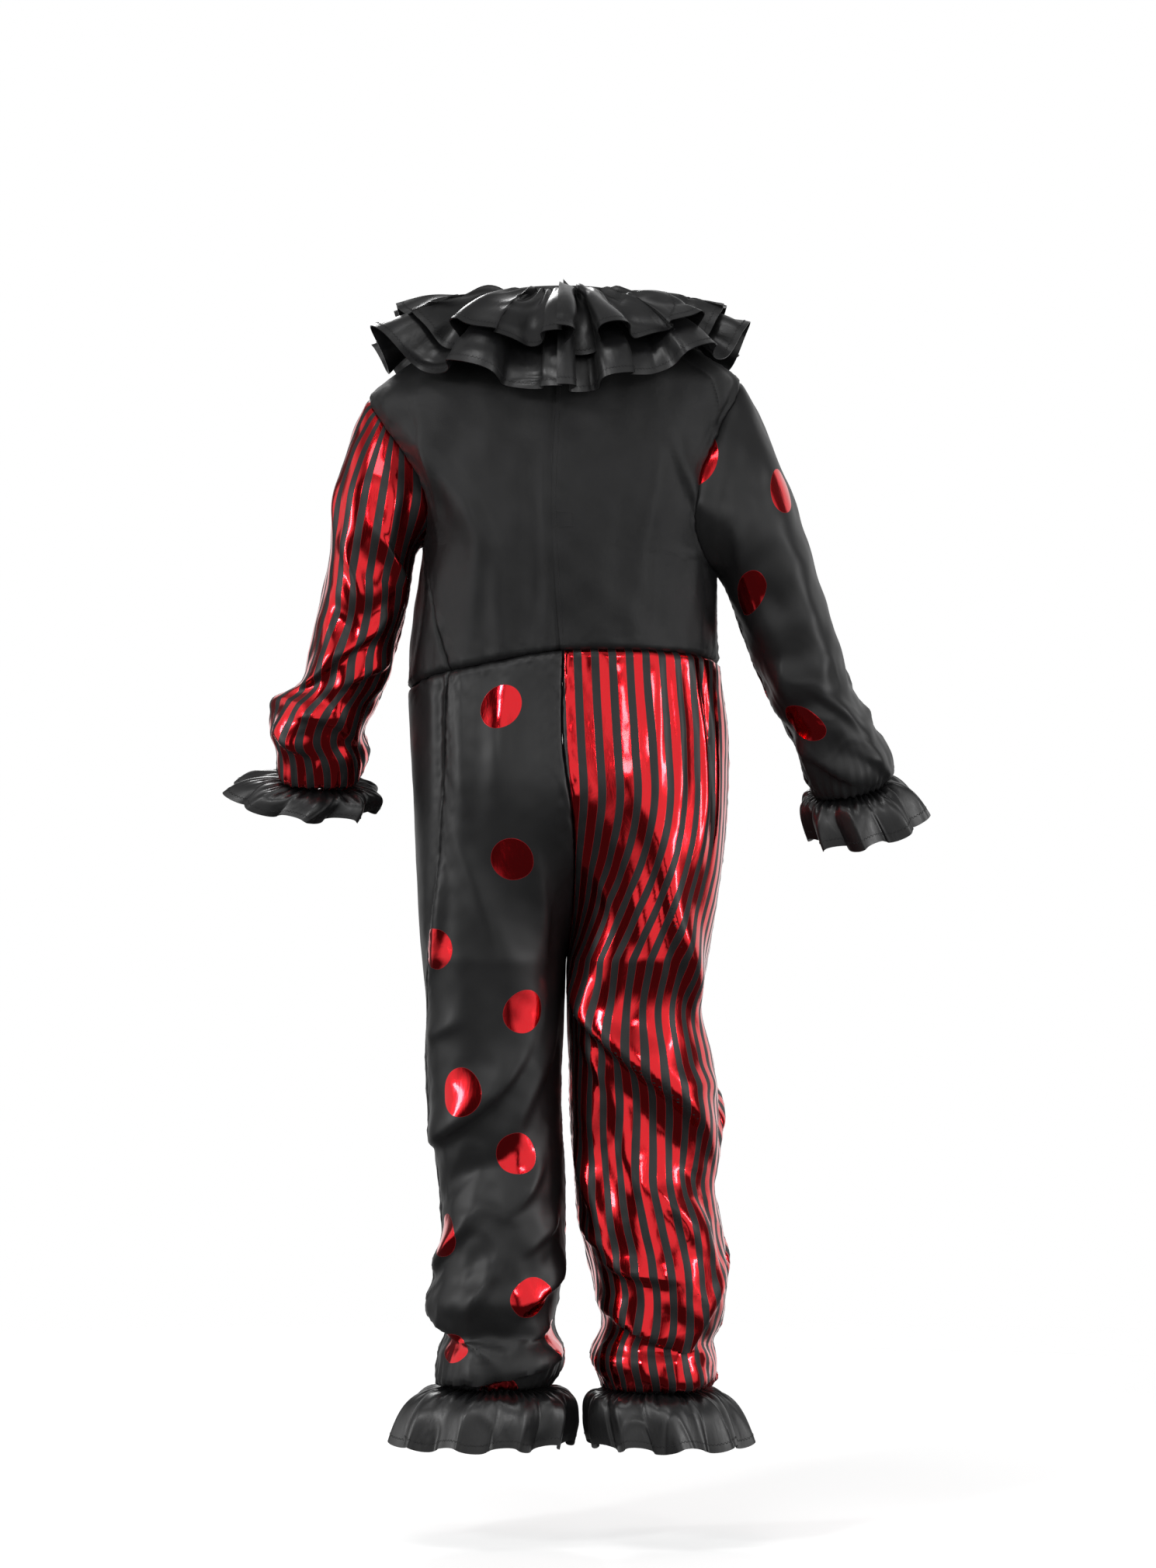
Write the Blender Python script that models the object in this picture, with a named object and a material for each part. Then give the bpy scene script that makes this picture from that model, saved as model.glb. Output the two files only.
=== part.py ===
"""Clown costume: a one-piece suit, worn and hollow, with a two-tier neck ruffle and frilled cuffs and ankles.

Units are metres, +Z is up, and the origin lies between the shoulders at the foot of the neck, where the
wearer carries the suit. The wearer faces -Y, so +Y is the back of the suit and +X is the wearer's left.
Every height is given as a drop: metres below the origin, down the body.

The suit is drawn as four kinds of surface, each a function of a turn round it (degrees) and a way along it:
  trunk_point   bodice and hips, one ring at each drop
  leg_point     a leg, which grows out of the trunk at the crotch
  sleeve_point  a sleeve, from the armhole to the wrist
  frill_point and ruff_point   the gathered frills
A panel is a patch of such a surface between its seams. Both skins of its wall come from the whole surface
and its normal, so that the walls of two panels stay parallel at the seam between them.
"""

from collections import namedtuple

import bpy
import numpy as np

# --- Cloth ---------------------------------------------------------------------------------------------

WALL = 0.0016  # thickness of the suit's cloth
FRILL_WALL = 0.0013  # thickness of the satin frills
SEAM_GAP = 0.0003  # left between two pieces at a seam
SQUARENESS = 0.09  # how far the rings fill out towards their corners, 0 for plain ellipses
NECK_SIDE_DROP = -0.007  # height of the neckline beside the neck
ROUND_NECK = 0.070  # depth below it in which the rings turn from round to filled out

# --- Trunk ---------------------------------------------------------------------------------------------

Ring = namedtuple("Ring", "drop left right back front")  # reach of the ring on each side of the origin
TRUNK = (
    Ring(-0.014, 0.052, 0.052, 0.050, 0.052),
    Ring(0.000, 0.064, 0.064, 0.056, 0.060),
    Ring(0.012, 0.084, 0.083, 0.062, 0.066),
    Ring(0.025, 0.106, 0.108, 0.068, 0.073),
    Ring(0.045, 0.137, 0.140, 0.077, 0.082),
    Ring(0.060, 0.158, 0.160, 0.083, 0.088),
    Ring(0.075, 0.174, 0.163, 0.088, 0.092),
    Ring(0.108, 0.166, 0.158, 0.096, 0.098),
    Ring(0.144, 0.150, 0.151, 0.101, 0.102),
    Ring(0.180, 0.136, 0.146, 0.104, 0.104),
    Ring(0.212, 0.128, 0.142, 0.105, 0.104),
    Ring(0.240, 0.130, 0.141, 0.104, 0.103),
    Ring(0.290, 0.136, 0.141, 0.102, 0.104),
    Ring(0.342, 0.140, 0.145, 0.104, 0.106),
    Ring(0.380, 0.138, 0.150, 0.110, 0.106),
    Ring(0.425, 0.135, 0.151, 0.116, 0.104),
    Ring(0.475, 0.134, 0.148, 0.114, 0.100),
    Ring(0.535, 0.131, 0.141, 0.104, 0.092),
    Ring(0.592, 0.126, 0.131, 0.090, 0.080),
)

Curve = namedtuple("Curve", "turn drop")  # an edge that runs round the trunk
NECKLINE = (
    Curve(-225, -0.011),
    Curve(-180, NECK_SIDE_DROP),
    Curve(-135, 0.005),
    Curve(-90, 0.024),
    Curve(-45, 0.005),
    Curve(0, NECK_SIDE_DROP),
    Curve(45, -0.011),
    Curve(90, -0.012),
    Curve(135, -0.011),
    Curve(180, NECK_SIDE_DROP),
    Curve(225, 0.005),
)
BACK_WAIST = (Curve(0, 0.330), Curve(46, 0.325), Curve(90, 0.308), Curve(135, 0.309), Curve(184, 0.319))
FRONT_WAIST = (Curve(-176, 0.319), Curve(-90, 0.333), Curve(0, 0.341), Curve(46, 0.325))

Line = namedtuple("Line", "drop reach")  # a line down the back, reach in metres towards the wearer's left
BACK_LAP = (Line(-0.014, 0.002), Line(0.077, 0.005), Line(0.185, 0.009), Line(0.250, 0.006), Line(0.310, 0.001))
BACK_SEAM = (
    Line(0.300, -0.001),
    Line(0.394, -0.001),
    Line(0.455, -0.009),
    Line(0.515, -0.011),
    Line(0.565, -0.007),
    Line(0.592, -0.003),
)
UNDERLAP = 0.016  # how far the left back reaches under the right one
LAP_STEP = 0.008  # width of the dip that takes the left back under it
LAP_CLEARANCE = 0.0009
LAP_GAP = 0.001  # the right back's edge lies this far off the fold where the left back starts to dip

Seam = namedtuple("Seam", "drop turn")
LEFT_SIDE_SEAM = (Seam(0.208, 8), Seam(0.224, 18), Seam(0.250, 28), Seam(0.290, 38), Seam(0.325, 46))
RIGHT_SIDE_SEAM = (Seam(0.195, 183), Seam(0.240, 183), Seam(0.345, 184))

# An armhole is a loop round the side of the trunk: its top and bottom, half its turn at the back and at the
# front, how much lower than the middle its widest place lies, and the turn of the side seam under it.
Armhole = namedtuple("Armhole", "side top bottom back_turn front_turn sag seam_turn")
ARMHOLES = {
    "left": Armhole(1, 0.075, 0.212, 28, 34, 0.30, 8),
    "right": Armhole(-1, 0.060, 0.239, 36, 38, 0.30, -3),
}

# --- Sleeves -------------------------------------------------------------------------------------------

# Rings down a sleeve: place of its outer and inner edge seen from behind, half its depth, how far it is
# carried back, and the tip of the ring in degrees, lower at the back.
Cuff = namedtuple("Cuff", "outer outer_drop inner inner_drop half_depth back tip")
SLEEVES = {
    "left": (
        Cuff(0.174, 0.075, 0.128, 0.212, 0.074, 0.000, 0),
        Cuff(0.193, 0.118, 0.132, 0.219, 0.070, 0.001, 0),
        Cuff(0.206, 0.165, 0.135, 0.232, 0.064, 0.003, 0),
        Cuff(0.211, 0.217, 0.137, 0.250, 0.058, 0.005, 0),
        Cuff(0.220, 0.262, 0.143, 0.277, 0.054, 0.006, 0),
        Cuff(0.230, 0.308, 0.152, 0.309, 0.052, 0.004, 2),
        Cuff(0.236, 0.334, 0.157, 0.333, 0.050, 0.001, 5),
        Cuff(0.259, 0.353, 0.169, 0.355, 0.053, -0.004, 9),
        Cuff(0.266, 0.374, 0.181, 0.379, 0.053, -0.010, 12),
        Cuff(0.262, 0.393, 0.176, 0.397, 0.050, -0.015, 14),
        Cuff(0.258, 0.409, 0.179, 0.411, 0.045, -0.018, 15),
        Cuff(0.251, 0.421, 0.190, 0.427, 0.037, -0.020, 16),
    ),
    "right": (
        Cuff(0.160, 0.060, 0.141, 0.239, 0.076, 0.000, 0),
        Cuff(0.184, 0.104, 0.145, 0.245, 0.072, 0.001, 0),
        Cuff(0.203, 0.150, 0.150, 0.256, 0.066, 0.003, 0),
        Cuff(0.220, 0.199, 0.157, 0.273, 0.059, 0.005, 0),
        Cuff(0.235, 0.249, 0.165, 0.296, 0.055, 0.006, 0),
        Cuff(0.251, 0.299, 0.176, 0.323, 0.052, 0.005, 2),
        Cuff(0.266, 0.346, 0.189, 0.352, 0.050, 0.001, 5),
        Cuff(0.284, 0.376, 0.205, 0.376, 0.051, -0.004, 9),
        Cuff(0.297, 0.400, 0.213, 0.396, 0.051, -0.009, 12),
        Cuff(0.299, 0.415, 0.217, 0.413, 0.046, -0.013, 14),
        Cuff(0.294, 0.4245, 0.229, 0.437, 0.037, -0.016, 16),
    ),
}
SLEEVE_LIFT, UNDERARM_LIFT = 0.0005, 0.0011  # how far a sleeve's start stands off the bodice
ARMHOLE_REACH = 2.2  # how many sleeve rings the armhole's own shape takes to die away
SLEEVE_RADIUS = 0.045  # makes a turn round the sleeve a length
SLEEVE_TOP_CALM, WRIST_CALM = 0.03, 0.02  # lengths at its ends in which the folds fade

# --- Legs ----------------------------------------------------------------------------------------------

SEAT_DROP = 0.420  # the legs begin to part from the trunk here
CROTCH_DROP = 0.585  # and are two tubes from here down
CALF_DROP = 0.830
INNER_CALM = 50  # degrees from the inner side in which the folds of legs and sleeves fade
SEAM_FOOT_DROP = 0.33  # where the side seams of bodice and legs meet the waist
Leg = namedtuple("Leg", "drop outer inner back front")  # reach from the suit's middle plane, and in depth
LEGS = {
    "left": (
        Leg(0.300, 0.140, -0.001, 0.104, 0.106),
        Leg(0.425, 0.135, -0.005, 0.112, 0.104),
        Leg(0.475, 0.134, -0.010, 0.108, 0.098),
        Leg(0.535, 0.131, -0.009, 0.100, 0.090),
        Leg(0.592, 0.126, -0.002, 0.090, 0.080),
        Leg(0.627, 0.123, -0.001, 0.086, 0.078),
        Leg(0.673, 0.124, 0.000, 0.080, 0.080),
        Leg(0.725, 0.121, 0.000, 0.076, 0.082),
        Leg(0.761, 0.115, -0.002, 0.074, 0.080),
        Leg(0.795, 0.112, -0.003, 0.077, 0.074),
        Leg(0.834, 0.110, -0.002, 0.082, 0.068),
        Leg(0.873, 0.114, 0.000, 0.084, 0.064),
        Leg(0.893, 0.121, 0.003, 0.087, 0.064),
        Leg(0.910, 0.115, 0.007, 0.080, 0.062),
        Leg(0.924, 0.106, 0.006, 0.073, 0.060),
        Leg(0.941, 0.113, -0.002, 0.081, 0.062),
        Leg(0.958, 0.112, 0.001, 0.078, 0.058),
        Leg(0.974, 0.107, 0.012, 0.064, 0.046),
    ),
    "right": (
        Leg(0.300, 0.142, 0.001, 0.104, 0.106),
        Leg(0.425, 0.151, 0.005, 0.114, 0.104),
        Leg(0.475, 0.148, 0.010, 0.110, 0.098),
        Leg(0.535, 0.141, 0.009, 0.102, 0.090),
        Leg(0.592, 0.131, 0.005, 0.090, 0.080),
        Leg(0.627, 0.125, 0.005, 0.084, 0.078),
        Leg(0.673, 0.136, 0.006, 0.084, 0.084),
        Leg(0.706, 0.141, 0.006, 0.080, 0.086),
        Leg(0.755, 0.139, 0.008, 0.074, 0.082),
        Leg(0.785, 0.136, 0.011, 0.078, 0.076),
        Leg(0.824, 0.144, 0.015, 0.084, 0.070),
        Leg(0.859, 0.148, 0.025, 0.087, 0.066),
        Leg(0.895, 0.146, 0.032, 0.088, 0.064),
        Leg(0.916, 0.140, 0.036, 0.080, 0.060),
        Leg(0.932, 0.134, 0.030, 0.074, 0.060),
        Leg(0.948, 0.138, 0.027, 0.081, 0.062),
        Leg(0.962, 0.137, 0.032, 0.077, 0.056),
        Leg(0.976, 0.133, 0.037, 0.064, 0.046),
    ),
}
LEG_SIDE_SEAM = {
    "left": (
        Seam(0.320, 92), Seam(0.394, 84), Seam(0.442, 74), Seam(0.495, 60),
        Seam(0.555, 40), Seam(0.592, 27), Seam(0.630, 14), Seam(0.700, 8), Seam(0.980, 8),
    ),
    "right": (Seam(0.320, -8), Seam(0.700, -8), Seam(0.980, -8)),
}

# --- Folds ---------------------------------------------------------------------------------------------

# A fold is a soft ridge, or a trough where its height is negative, lying on a surface: its middle, its
# height, half its width and half its length, and its lean from level in degrees, positive where it climbs
# with the turn.
Fold = namedtuple("Fold", "drop turn height width length lean")
TRUNK_FOLDS = (
    Fold(0.170, 62, 0.005, 0.012, 0.075, 70),
    Fold(0.210, 78, -0.003, 0.011, 0.080, 86),
    Fold(0.190, 122, 0.004, 0.012, 0.080, 80),
    Fold(0.205, 142, 0.006, 0.012, 0.070, 68),
    Fold(0.255, 160, -0.004, 0.012, 0.060, 96),
    Fold(0.290, 66, 0.003, 0.010, 0.050, 98),
    Fold(0.460, 66, 0.004, 0.012, 0.090, 94),
    Fold(0.430, 122, 0.006, 0.013, 0.110, 82),
    Fold(0.400, 150, -0.005, 0.013, 0.080, 76),
    Fold(0.180, -60, 0.005, 0.012, 0.080, 92),
    Fold(0.200, -90, -0.004, 0.013, 0.090, 88),
    Fold(0.190, -125, 0.005, 0.012, 0.080, 84),
    Fold(0.420, -60, 0.005, 0.013, 0.090, 86),
    Fold(0.430, -122, 0.005, 0.013, 0.090, 96),
)
LEG_FOLDS = {
    "left": (
        Fold(0.715, 66, 0.0112, 0.014, 0.065, -42),
        Fold(0.770, 100, 0.0084, 0.013, 0.055, -30),
        Fold(0.690, -80, 0.0084, 0.014, 0.070, 84),
        Fold(0.800, 20, 0.007, 0.012, 0.050, 40),
        Fold(0.850, 110, 0.0084, 0.012, 0.060, 28),
        Fold(0.770, -75, -0.0084, 0.013, 0.050, 15),
        Fold(0.860, -60, 0.0084, 0.012, 0.060, -18),
        Fold(0.900, 70, 0.0084, 0.009, 0.060, -14),
        Fold(0.925, 110, -0.0084, 0.008, 0.060, 10),
        Fold(0.945, 60, 0.0084, 0.008, 0.050, 12),
        Fold(0.900, -90, 0.0084, 0.009, 0.060, 12),
        Fold(0.940, -100, 0.0084, 0.008, 0.050, -10),
    ),
    "right": (
        Fold(0.690, 76, 0.0154, 0.014, 0.085, -52),
        Fold(0.730, 108, -0.0098, 0.012, 0.070, -48),
        Fold(0.790, 40, 0.0098, 0.013, 0.060, -30),
        Fold(0.700, -80, 0.0084, 0.014, 0.070, 80),
        Fold(0.840, 95, 0.0098, 0.012, 0.065, 34),
        Fold(0.790, -75, -0.0084, 0.013, 0.050, -12),
        Fold(0.870, -70, 0.0084, 0.012, 0.060, 16),
        Fold(0.885, 45, 0.0084, 0.010, 0.060, -32),
        Fold(0.915, 100, 0.007, 0.008, 0.060, -16),
        Fold(0.938, 70, -0.0084, 0.008, 0.060, 8),
        Fold(0.905, -95, 0.0084, 0.009, 0.060, -12),
        Fold(0.945, -60, 0.0084, 0.008, 0.050, 10),
    ),
}
# On a sleeve the place is the distance down it from the armhole.
SLEEVE_FOLDS = {
    "left": (
        Fold(0.070, 80, 0.007, 0.011, 0.050, 62),
        Fold(0.110, 115, -0.0056, 0.010, 0.050, 58),
        Fold(0.150, 60, 0.0084, 0.011, 0.050, 38),
        Fold(0.195, 95, 0.0098, 0.010, 0.050, 34),
        Fold(0.215, 130, -0.0084, 0.009, 0.045, 28),
        Fold(0.240, 70, 0.0112, 0.011, 0.055, 24),
        Fold(0.262, 110, -0.007, 0.008, 0.050, -12),
        Fold(0.170, -80, -0.0084, 0.011, 0.045, 10),
        Fold(0.205, -100, 0.0084, 0.011, 0.050, -14),
        Fold(0.245, -70, 0.0084, 0.010, 0.050, 12),
        Fold(0.235, 170, 0.007, 0.010, 0.040, 10),
    ),
    "right": (
        Fold(0.060, 90, 0.007, 0.012, 0.055, 66),
        Fold(0.110, 60, 0.0056, 0.012, 0.060, 72),
        Fold(0.160, 110, -0.007, 0.011, 0.050, 30),
        Fold(0.190, 80, 0.007, 0.011, 0.050, 26),
        Fold(0.225, 120, 0.0084, 0.010, 0.045, 20),
        Fold(0.250, 80, -0.007, 0.009, 0.050, -14),
        Fold(0.268, 100, 0.007, 0.008, 0.050, 8),
        Fold(0.170, -85, -0.0084, 0.011, 0.045, -8),
        Fold(0.205, -95, 0.0084, 0.011, 0.050, 12),
        Fold(0.250, -80, 0.007, 0.010, 0.050, -10),
    ),
}

# --- Neckband and neck ruffle --------------------------------------------------------------------------

BAND_LIFT = 0.0008  # how far the foot of the band and of the ruffle stands above the neckline
BAND_HEIGHT = 0.009
BAND_WALL = 0.0020
BAND_LEAN = 0.001  # how far the band's top stands in from its foot
BAND_OPENING = 1.2  # degrees left open each side of the middle of the back
BAND_CORNER = 0.006  # the loose end of the band stands up this far
BAND_CORNER_SPAN = 6.0

# How the ruffle spreads: slope below level where it leaves the band and at its hem, and its length.
Spread = namedtuple("Spread", "turn start_slope end_slope length")
RUFF = {
    "lower": (
        Spread(-225, 14, 48, 0.118),
        Spread(-180, 12, 24, 0.112),
        Spread(-135, 14, 54, 0.118),
        Spread(-90, 26, 70, 0.112),
        Spread(-45, 14, 54, 0.118),
        Spread(0, 14, 26, 0.120),
        Spread(45, 14, 52, 0.120),
        Spread(90, 26, 80, 0.118),
        Spread(135, 14, 48, 0.118),
        Spread(180, 12, 24, 0.112),
        Spread(225, 14, 54, 0.118),
    ),
    "upper": (
        Spread(-225, 4, 38, 0.096),
        Spread(-180, 2, 20, 0.090),
        Spread(-135, 2, 38, 0.094),
        Spread(-90, 12, 52, 0.090),
        Spread(-45, 2, 38, 0.094),
        Spread(0, 5, 20, 0.094),
        Spread(45, 5, 40, 0.096),
        Spread(90, 12, 56, 0.094),
        Spread(135, 4, 38, 0.096),
        Spread(180, 2, 20, 0.090),
        Spread(225, 2, 38, 0.094),
    ),
}
RUFF_LIFT = {"lower": 0.0022, "upper": 0.0062}  # height of a tier's root above the foot of the band
RUFF_OPENING = 1.0  # degrees left open each side of the middle of the back

# The turns at which each set of flutes stands highest, round from the middle of the back. Both tiers ripple
# with the wide flutes, on which the upper one lies, and the upper tier has the narrow ones as well.
WIDE_CRESTS = (-271, -250, -220, -184, -152, -118, -84, -50, -16, 20, 57, 89)
NARROW_CRESTS = (-270.5, -253, -233, -213, -194, -175, -155, -134, -113, -92, -71, -50, -29, -9, 11, 31, 50, 68.5,
                 89.5)
# Flutes: their crests, their height at the root and at a tier's own hem, how far they swing sideways there,
# which makes them fuller than a plain wave, and that hem's distance from the band.
Flutes = namedtuple("Flutes", "crests root_height hem_height swing distance")
WIDE_FLUTES = Flutes(WIDE_CRESTS, 0.0008, 0.0170, 0.0050, 0.118)
NARROW_FLUTES = Flutes(NARROW_CRESTS, 0.0003, 0.0060, 0.0020, 0.094)
UPPER_SHARE = 0.93  # how much of the wide flutes the upper tier takes
SIDE_FULLNESS = 0.2  # how much higher the flutes stand over the shoulders, and lower at the back and front
FLUTE_GROWTH = 0.85  # power of the distance with which the flutes grow
UNEVEN = ((0.22, 2.3, 40), (0.14, 5.1, 0))  # size, pace and start of two slow waves that make flutes uneven

# --- Frills at cuffs and ankles ------------------------------------------------------------------------

# The hem ring of a frill: reach of its outer and inner edge from the suit's middle plane with their drops,
# half its depth, how far it is carried back, its tip in degrees, and the count and height of its waves.
Hem = namedtuple("Hem", "outer outer_drop inner inner_drop half_depth back tip waves wave")
CUFF_FRILLS = {
    "left": Hem(0.300, 0.436, 0.175, 0.450, 0.056, -0.024, 17, 9, 0.0080),
    "right": Hem(0.327, 0.456, 0.228, 0.475, 0.054, -0.020, 20, 9, 0.0075),
}
ANKLE_FRILLS = {
    "left": Hem(0.151, 1.0235, -0.0085, 1.0235, 0.079, 0.012, 0, 11, 0.0060),
    "right": Hem(0.168, 1.0240, 0.0270, 1.0240, 0.077, 0.012, 0, 10, 0.0060),
}
GATHER_WAVE = 0.0010  # height of the waves where a frill is gathered
HEM_LIFT = 0.0030  # how far the hem rises and falls
LEVEL_START, HANG = 2.0, 1.7  # powers by which a frill leaves its ring almost level and then hangs

# --- How finely each surface is cut --------------------------------------------------------------------

SIDE_ROWS = 4
BACK_ARMHOLE_ROWS = 11
FRONT_ARMHOLE_ROWS = 11
SHOULDER_ROWS = 3
BACK_COLUMNS = {"left": 7, "right": 9}
FRONT_COLUMNS = 15
SLEEVE_ROWS = 15
LEG_COLUMNS = 9
SEAT_ROWS, THIGH_ROWS, SHANK_ROWS, ANKLE_ROWS = 3, 5, 8, 9
BAND_COLUMNS = 32
POINTS_PER_WAVE = 5
RUFF_COLUMNS = {"lower": 96, "upper": 116}
RUFF_ROWS = 3
CUFF_ROWS = 3
ANKLE_FRILL_ROWS = 3

# --- Colours (linear RGB), roughness and metallic ------------------------------------------------------

Finish = namedtuple("Finish", "name colour roughness metallic")
BLACK_CLOTH = Finish("black_cloth", (0.012, 0.012, 0.013), 0.62, 0.0)
RED_FOIL = Finish("red_foil_stripe", (0.55, 0.012, 0.016), 0.28, 0.8)
BLACK_SATIN = Finish("black_satin", (0.010, 0.010, 0.011), 0.32, 0.0)


# --- Curves through tables -----------------------------------------------------------------------------


def through(rows, at):
    """Smooth values of a table's other columns where its first column is `at`."""
    table = np.array(rows, float)
    places, values = table[:, 0], table[:, 1:]
    slopes = np.gradient(values, places, axis=0)
    at = np.clip(np.asarray(at, float), places[0], places[-1])
    k = np.clip(np.searchsorted(places, at, side="right") - 1, 0, len(places) - 2)
    step = (places[k + 1] - places[k])[..., None]
    t = (at[..., None] - places[k][..., None]) / step
    return (
        (1 + 2 * t) * (1 - t) ** 2 * values[k]
        + t * (1 - t) ** 2 * step * slopes[k]
        + t**2 * (3 - 2 * t) * values[k + 1]
        + t**2 * (t - 1) * step * slopes[k + 1]
    )


def along(rows, at):
    """The one value of a two-column table."""
    return through(rows, at)[..., 0]


def ease(t):
    t = np.clip(t, 0, 1)
    return t * t * (3 - 2 * t)


def cosd(turn):
    return np.cos(np.radians(turn))


def sind(turn):
    return np.sin(np.radians(turn))


def points(x, y, z):
    return np.stack(np.broadcast_arrays(x, y, z), axis=-1).astype(float)


def turned(turn, fill=SQUARENESS):
    """Cosine and sine of a turn, filled out towards the corners of the ring."""
    c, s = cosd(turn), sind(turn)
    return c * (1 + fill * s * s), s * (1 + fill * c * c)


def trunk_fill(drop):
    """The trunk's rings are rounder towards the neck."""
    return SQUARENESS * ease((np.asarray(drop, float) - NECK_SIDE_DROP) / ROUND_NECK)


def fold_height(folds, place, turn, reach):
    """How far the folds lift a surface. reach is the ring's mean radius, which makes a turn a length."""
    lift = 0.0
    for fold in folds:
        down = place - fold.drop
        aside = np.radians((turn - fold.turn + 180) % 360 - 180) * reach
        run = aside * cosd(fold.lean) - down * sind(fold.lean)
        across = aside * sind(fold.lean) + down * cosd(fold.lean)
        lift = lift + fold.height * np.exp(-((across / fold.width) ** 2) - (run / fold.length) ** 2)
    return lift


def normals(surface, turn, place, turn_step=0.2, place_step=0.0004):
    """Outward unit normals of a surface whose turn runs anticlockwise and whose place runs down."""
    round_it = surface(turn + turn_step, place) - surface(turn - turn_step, place)
    down_it = surface(turn, place + place_step) - surface(turn, place - place_step)
    normal = np.cross(down_it, round_it)
    return normal / np.linalg.norm(normal, axis=-1, keepdims=True)


# --- The surfaces --------------------------------------------------------------------------------------


def trunk_point(turn, drop):
    """Bodice and hips. Turn 0 is the wearer's left side, 90 the middle of the back, 180 the right side."""
    left, right, back, front = np.moveaxis(through(TRUNK, drop), -1, 0)
    c, s = turned(turn, trunk_fill(drop))
    side = left + (right - left) * ease(0.5 - c / 0.4)
    depth = np.where(s > 0, back, front)
    lift = fold_height(TRUNK_FOLDS, drop, turn, (side + depth) / 2)
    return points((side + lift) * c, (depth + lift) * s, -np.asarray(drop, float))


def turn_at(reach, drop):
    """The turn at which the trunk's back lies `reach` towards the wearer's left."""
    left, right = np.moveaxis(through(TRUNK, drop), -1, 0)[:2]
    return 90 - np.degrees(np.arcsin(reach / ((left + right) / 2 * (1 + trunk_fill(drop)))))


def leg_point(name, turn, drop):
    """A leg. Turn 0 is its outer side, 90 the back, 180 the inner seam, and -90 the front."""
    side = 1 if name == "left" else -1
    middle = np.where(turn > 0, turn_at(along(BACK_SEAM, drop), drop), 90.0)
    quarter = middle if side == 1 else np.where(turn > 0, 180 - middle, 90.0)
    trunk_turn = turn / 180 * quarter
    trunk = trunk_point(trunk_turn if side == 1 else 180 - trunk_turn, drop)
    outer, inner, back, front = np.moveaxis(through(LEGS[name], drop), -1, 0)
    c, s = turned(turn)
    half = (outer - inner) / 2
    depth = np.where(s > 0, back, front)
    inner_calm = ease((180 - np.abs(turn)) / INNER_CALM)
    lift = fold_height(LEG_FOLDS[name], drop, turn, half) * inner_calm
    tube = points(side * ((outer + inner) / 2 + (half + lift) * c), (depth + lift) * s, -np.asarray(drop, float))
    parted = np.clip((drop - SEAT_DROP) / (CROTCH_DROP - SEAT_DROP), 0, 1)[..., None]
    share = 1 - np.cos(parted * np.pi / 2)
    apart = points(side * SEAM_GAP / 2, 0.0, 0.0)
    return trunk + (tube - trunk) * share + apart


def armhole_turn_drop(name, angle):
    """Where an armhole runs on the trunk. Angle 0 is its top, 90 the back, 180 under the arm, 270 the front."""
    hole = ARMHOLES[name]
    drop = (hole.top + hole.bottom) / 2 - (hole.bottom - hole.top) / 2 * cosd(angle)
    half_turn = np.where(sind(angle) > 0, hole.back_turn, hole.front_turn)
    turn = half_turn * sind(angle) * (1 - hole.sag * cosd(angle))
    return (turn if hole.side == 1 else 180 - turn), drop


def armhole_point(name, angle):
    """Where a sleeve starts: the armhole's edge, lifted clear of the bodice, and more so under the arm."""
    turn, drop = armhole_turn_drop(name, angle)
    lift = SLEEVE_LIFT + (UNDERARM_LIFT - SLEEVE_LIFT) * ease(-1.2 * cosd(angle))
    return trunk_point(turn, drop) + normals(trunk_point, turn, drop) * lift[..., None]


def sleeve_ring(name, place):
    """Centre, sideways and backward half axes of the ring at a place counted in rings down the sleeve."""
    rings = SLEEVES[name]
    side = 1 if name == "left" else -1
    counted = [(k, *ring) for k, ring in enumerate(rings)]
    outer, outer_drop, inner, inner_drop, half_depth, back, tip = np.moveaxis(through(counted, place), -1, 0)
    centre = points(side * (outer + inner) / 2, back, -(outer_drop + inner_drop) / 2)
    sideways = points(side * (outer - inner) / 2, 0.0, (inner_drop - outer_drop) / 2)
    backward = points(0.0, half_depth * cosd(tip), -half_depth * sind(tip))
    return centre, sideways, backward


def sleeve_lengths(name):
    """Distance down the sleeve at each of its rings, measured along its middle."""
    centres = sleeve_ring(name, np.arange(len(SLEEVES[name])))[0]
    steps = np.linalg.norm(np.diff(centres, axis=0), axis=1)
    return np.concatenate([[0.0], np.cumsum(steps)])


def sleeve_point(name, turn, length):
    """A sleeve. Turn 0 is its outer side, 90 the back and 180 the side by the body."""
    lengths = sleeve_lengths(name)
    place = np.interp(length, lengths, np.arange(len(lengths)))
    centre, sideways, backward = sleeve_ring(name, place)
    c, s = turned(turn)
    arm = sideways * c[..., None] + backward * s[..., None]
    reach = np.linalg.norm(arm, axis=-1)
    calm = ease((180 - np.abs((turn + 180) % 360 - 180)) / INNER_CALM) * ease((lengths[-1] - length) / WRIST_CALM)
    lift = fold_height(SLEEVE_FOLDS[name], length, turn, SLEEVE_RADIUS) * calm * ease(length / SLEEVE_TOP_CALM)
    ring = centre + arm * (1 + lift / reach)[..., None]
    start_centre, start_sideways, start_backward = sleeve_ring(name, np.zeros_like(place))
    plain_start = start_centre + start_sideways * c[..., None] + start_backward * s[..., None]
    fading = np.clip(1 - place / ARMHOLE_REACH, 0, 1)[..., None] ** 2
    return ring + (armhole_point(name, turn) - plain_start) * fading


def neckline(turn):
    """How far the neckline drops at a turn."""
    return along(NECKLINE, (turn + 180) % 360 - 180)


def neck_point(turn):
    return trunk_point(turn, neckline(turn))


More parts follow.
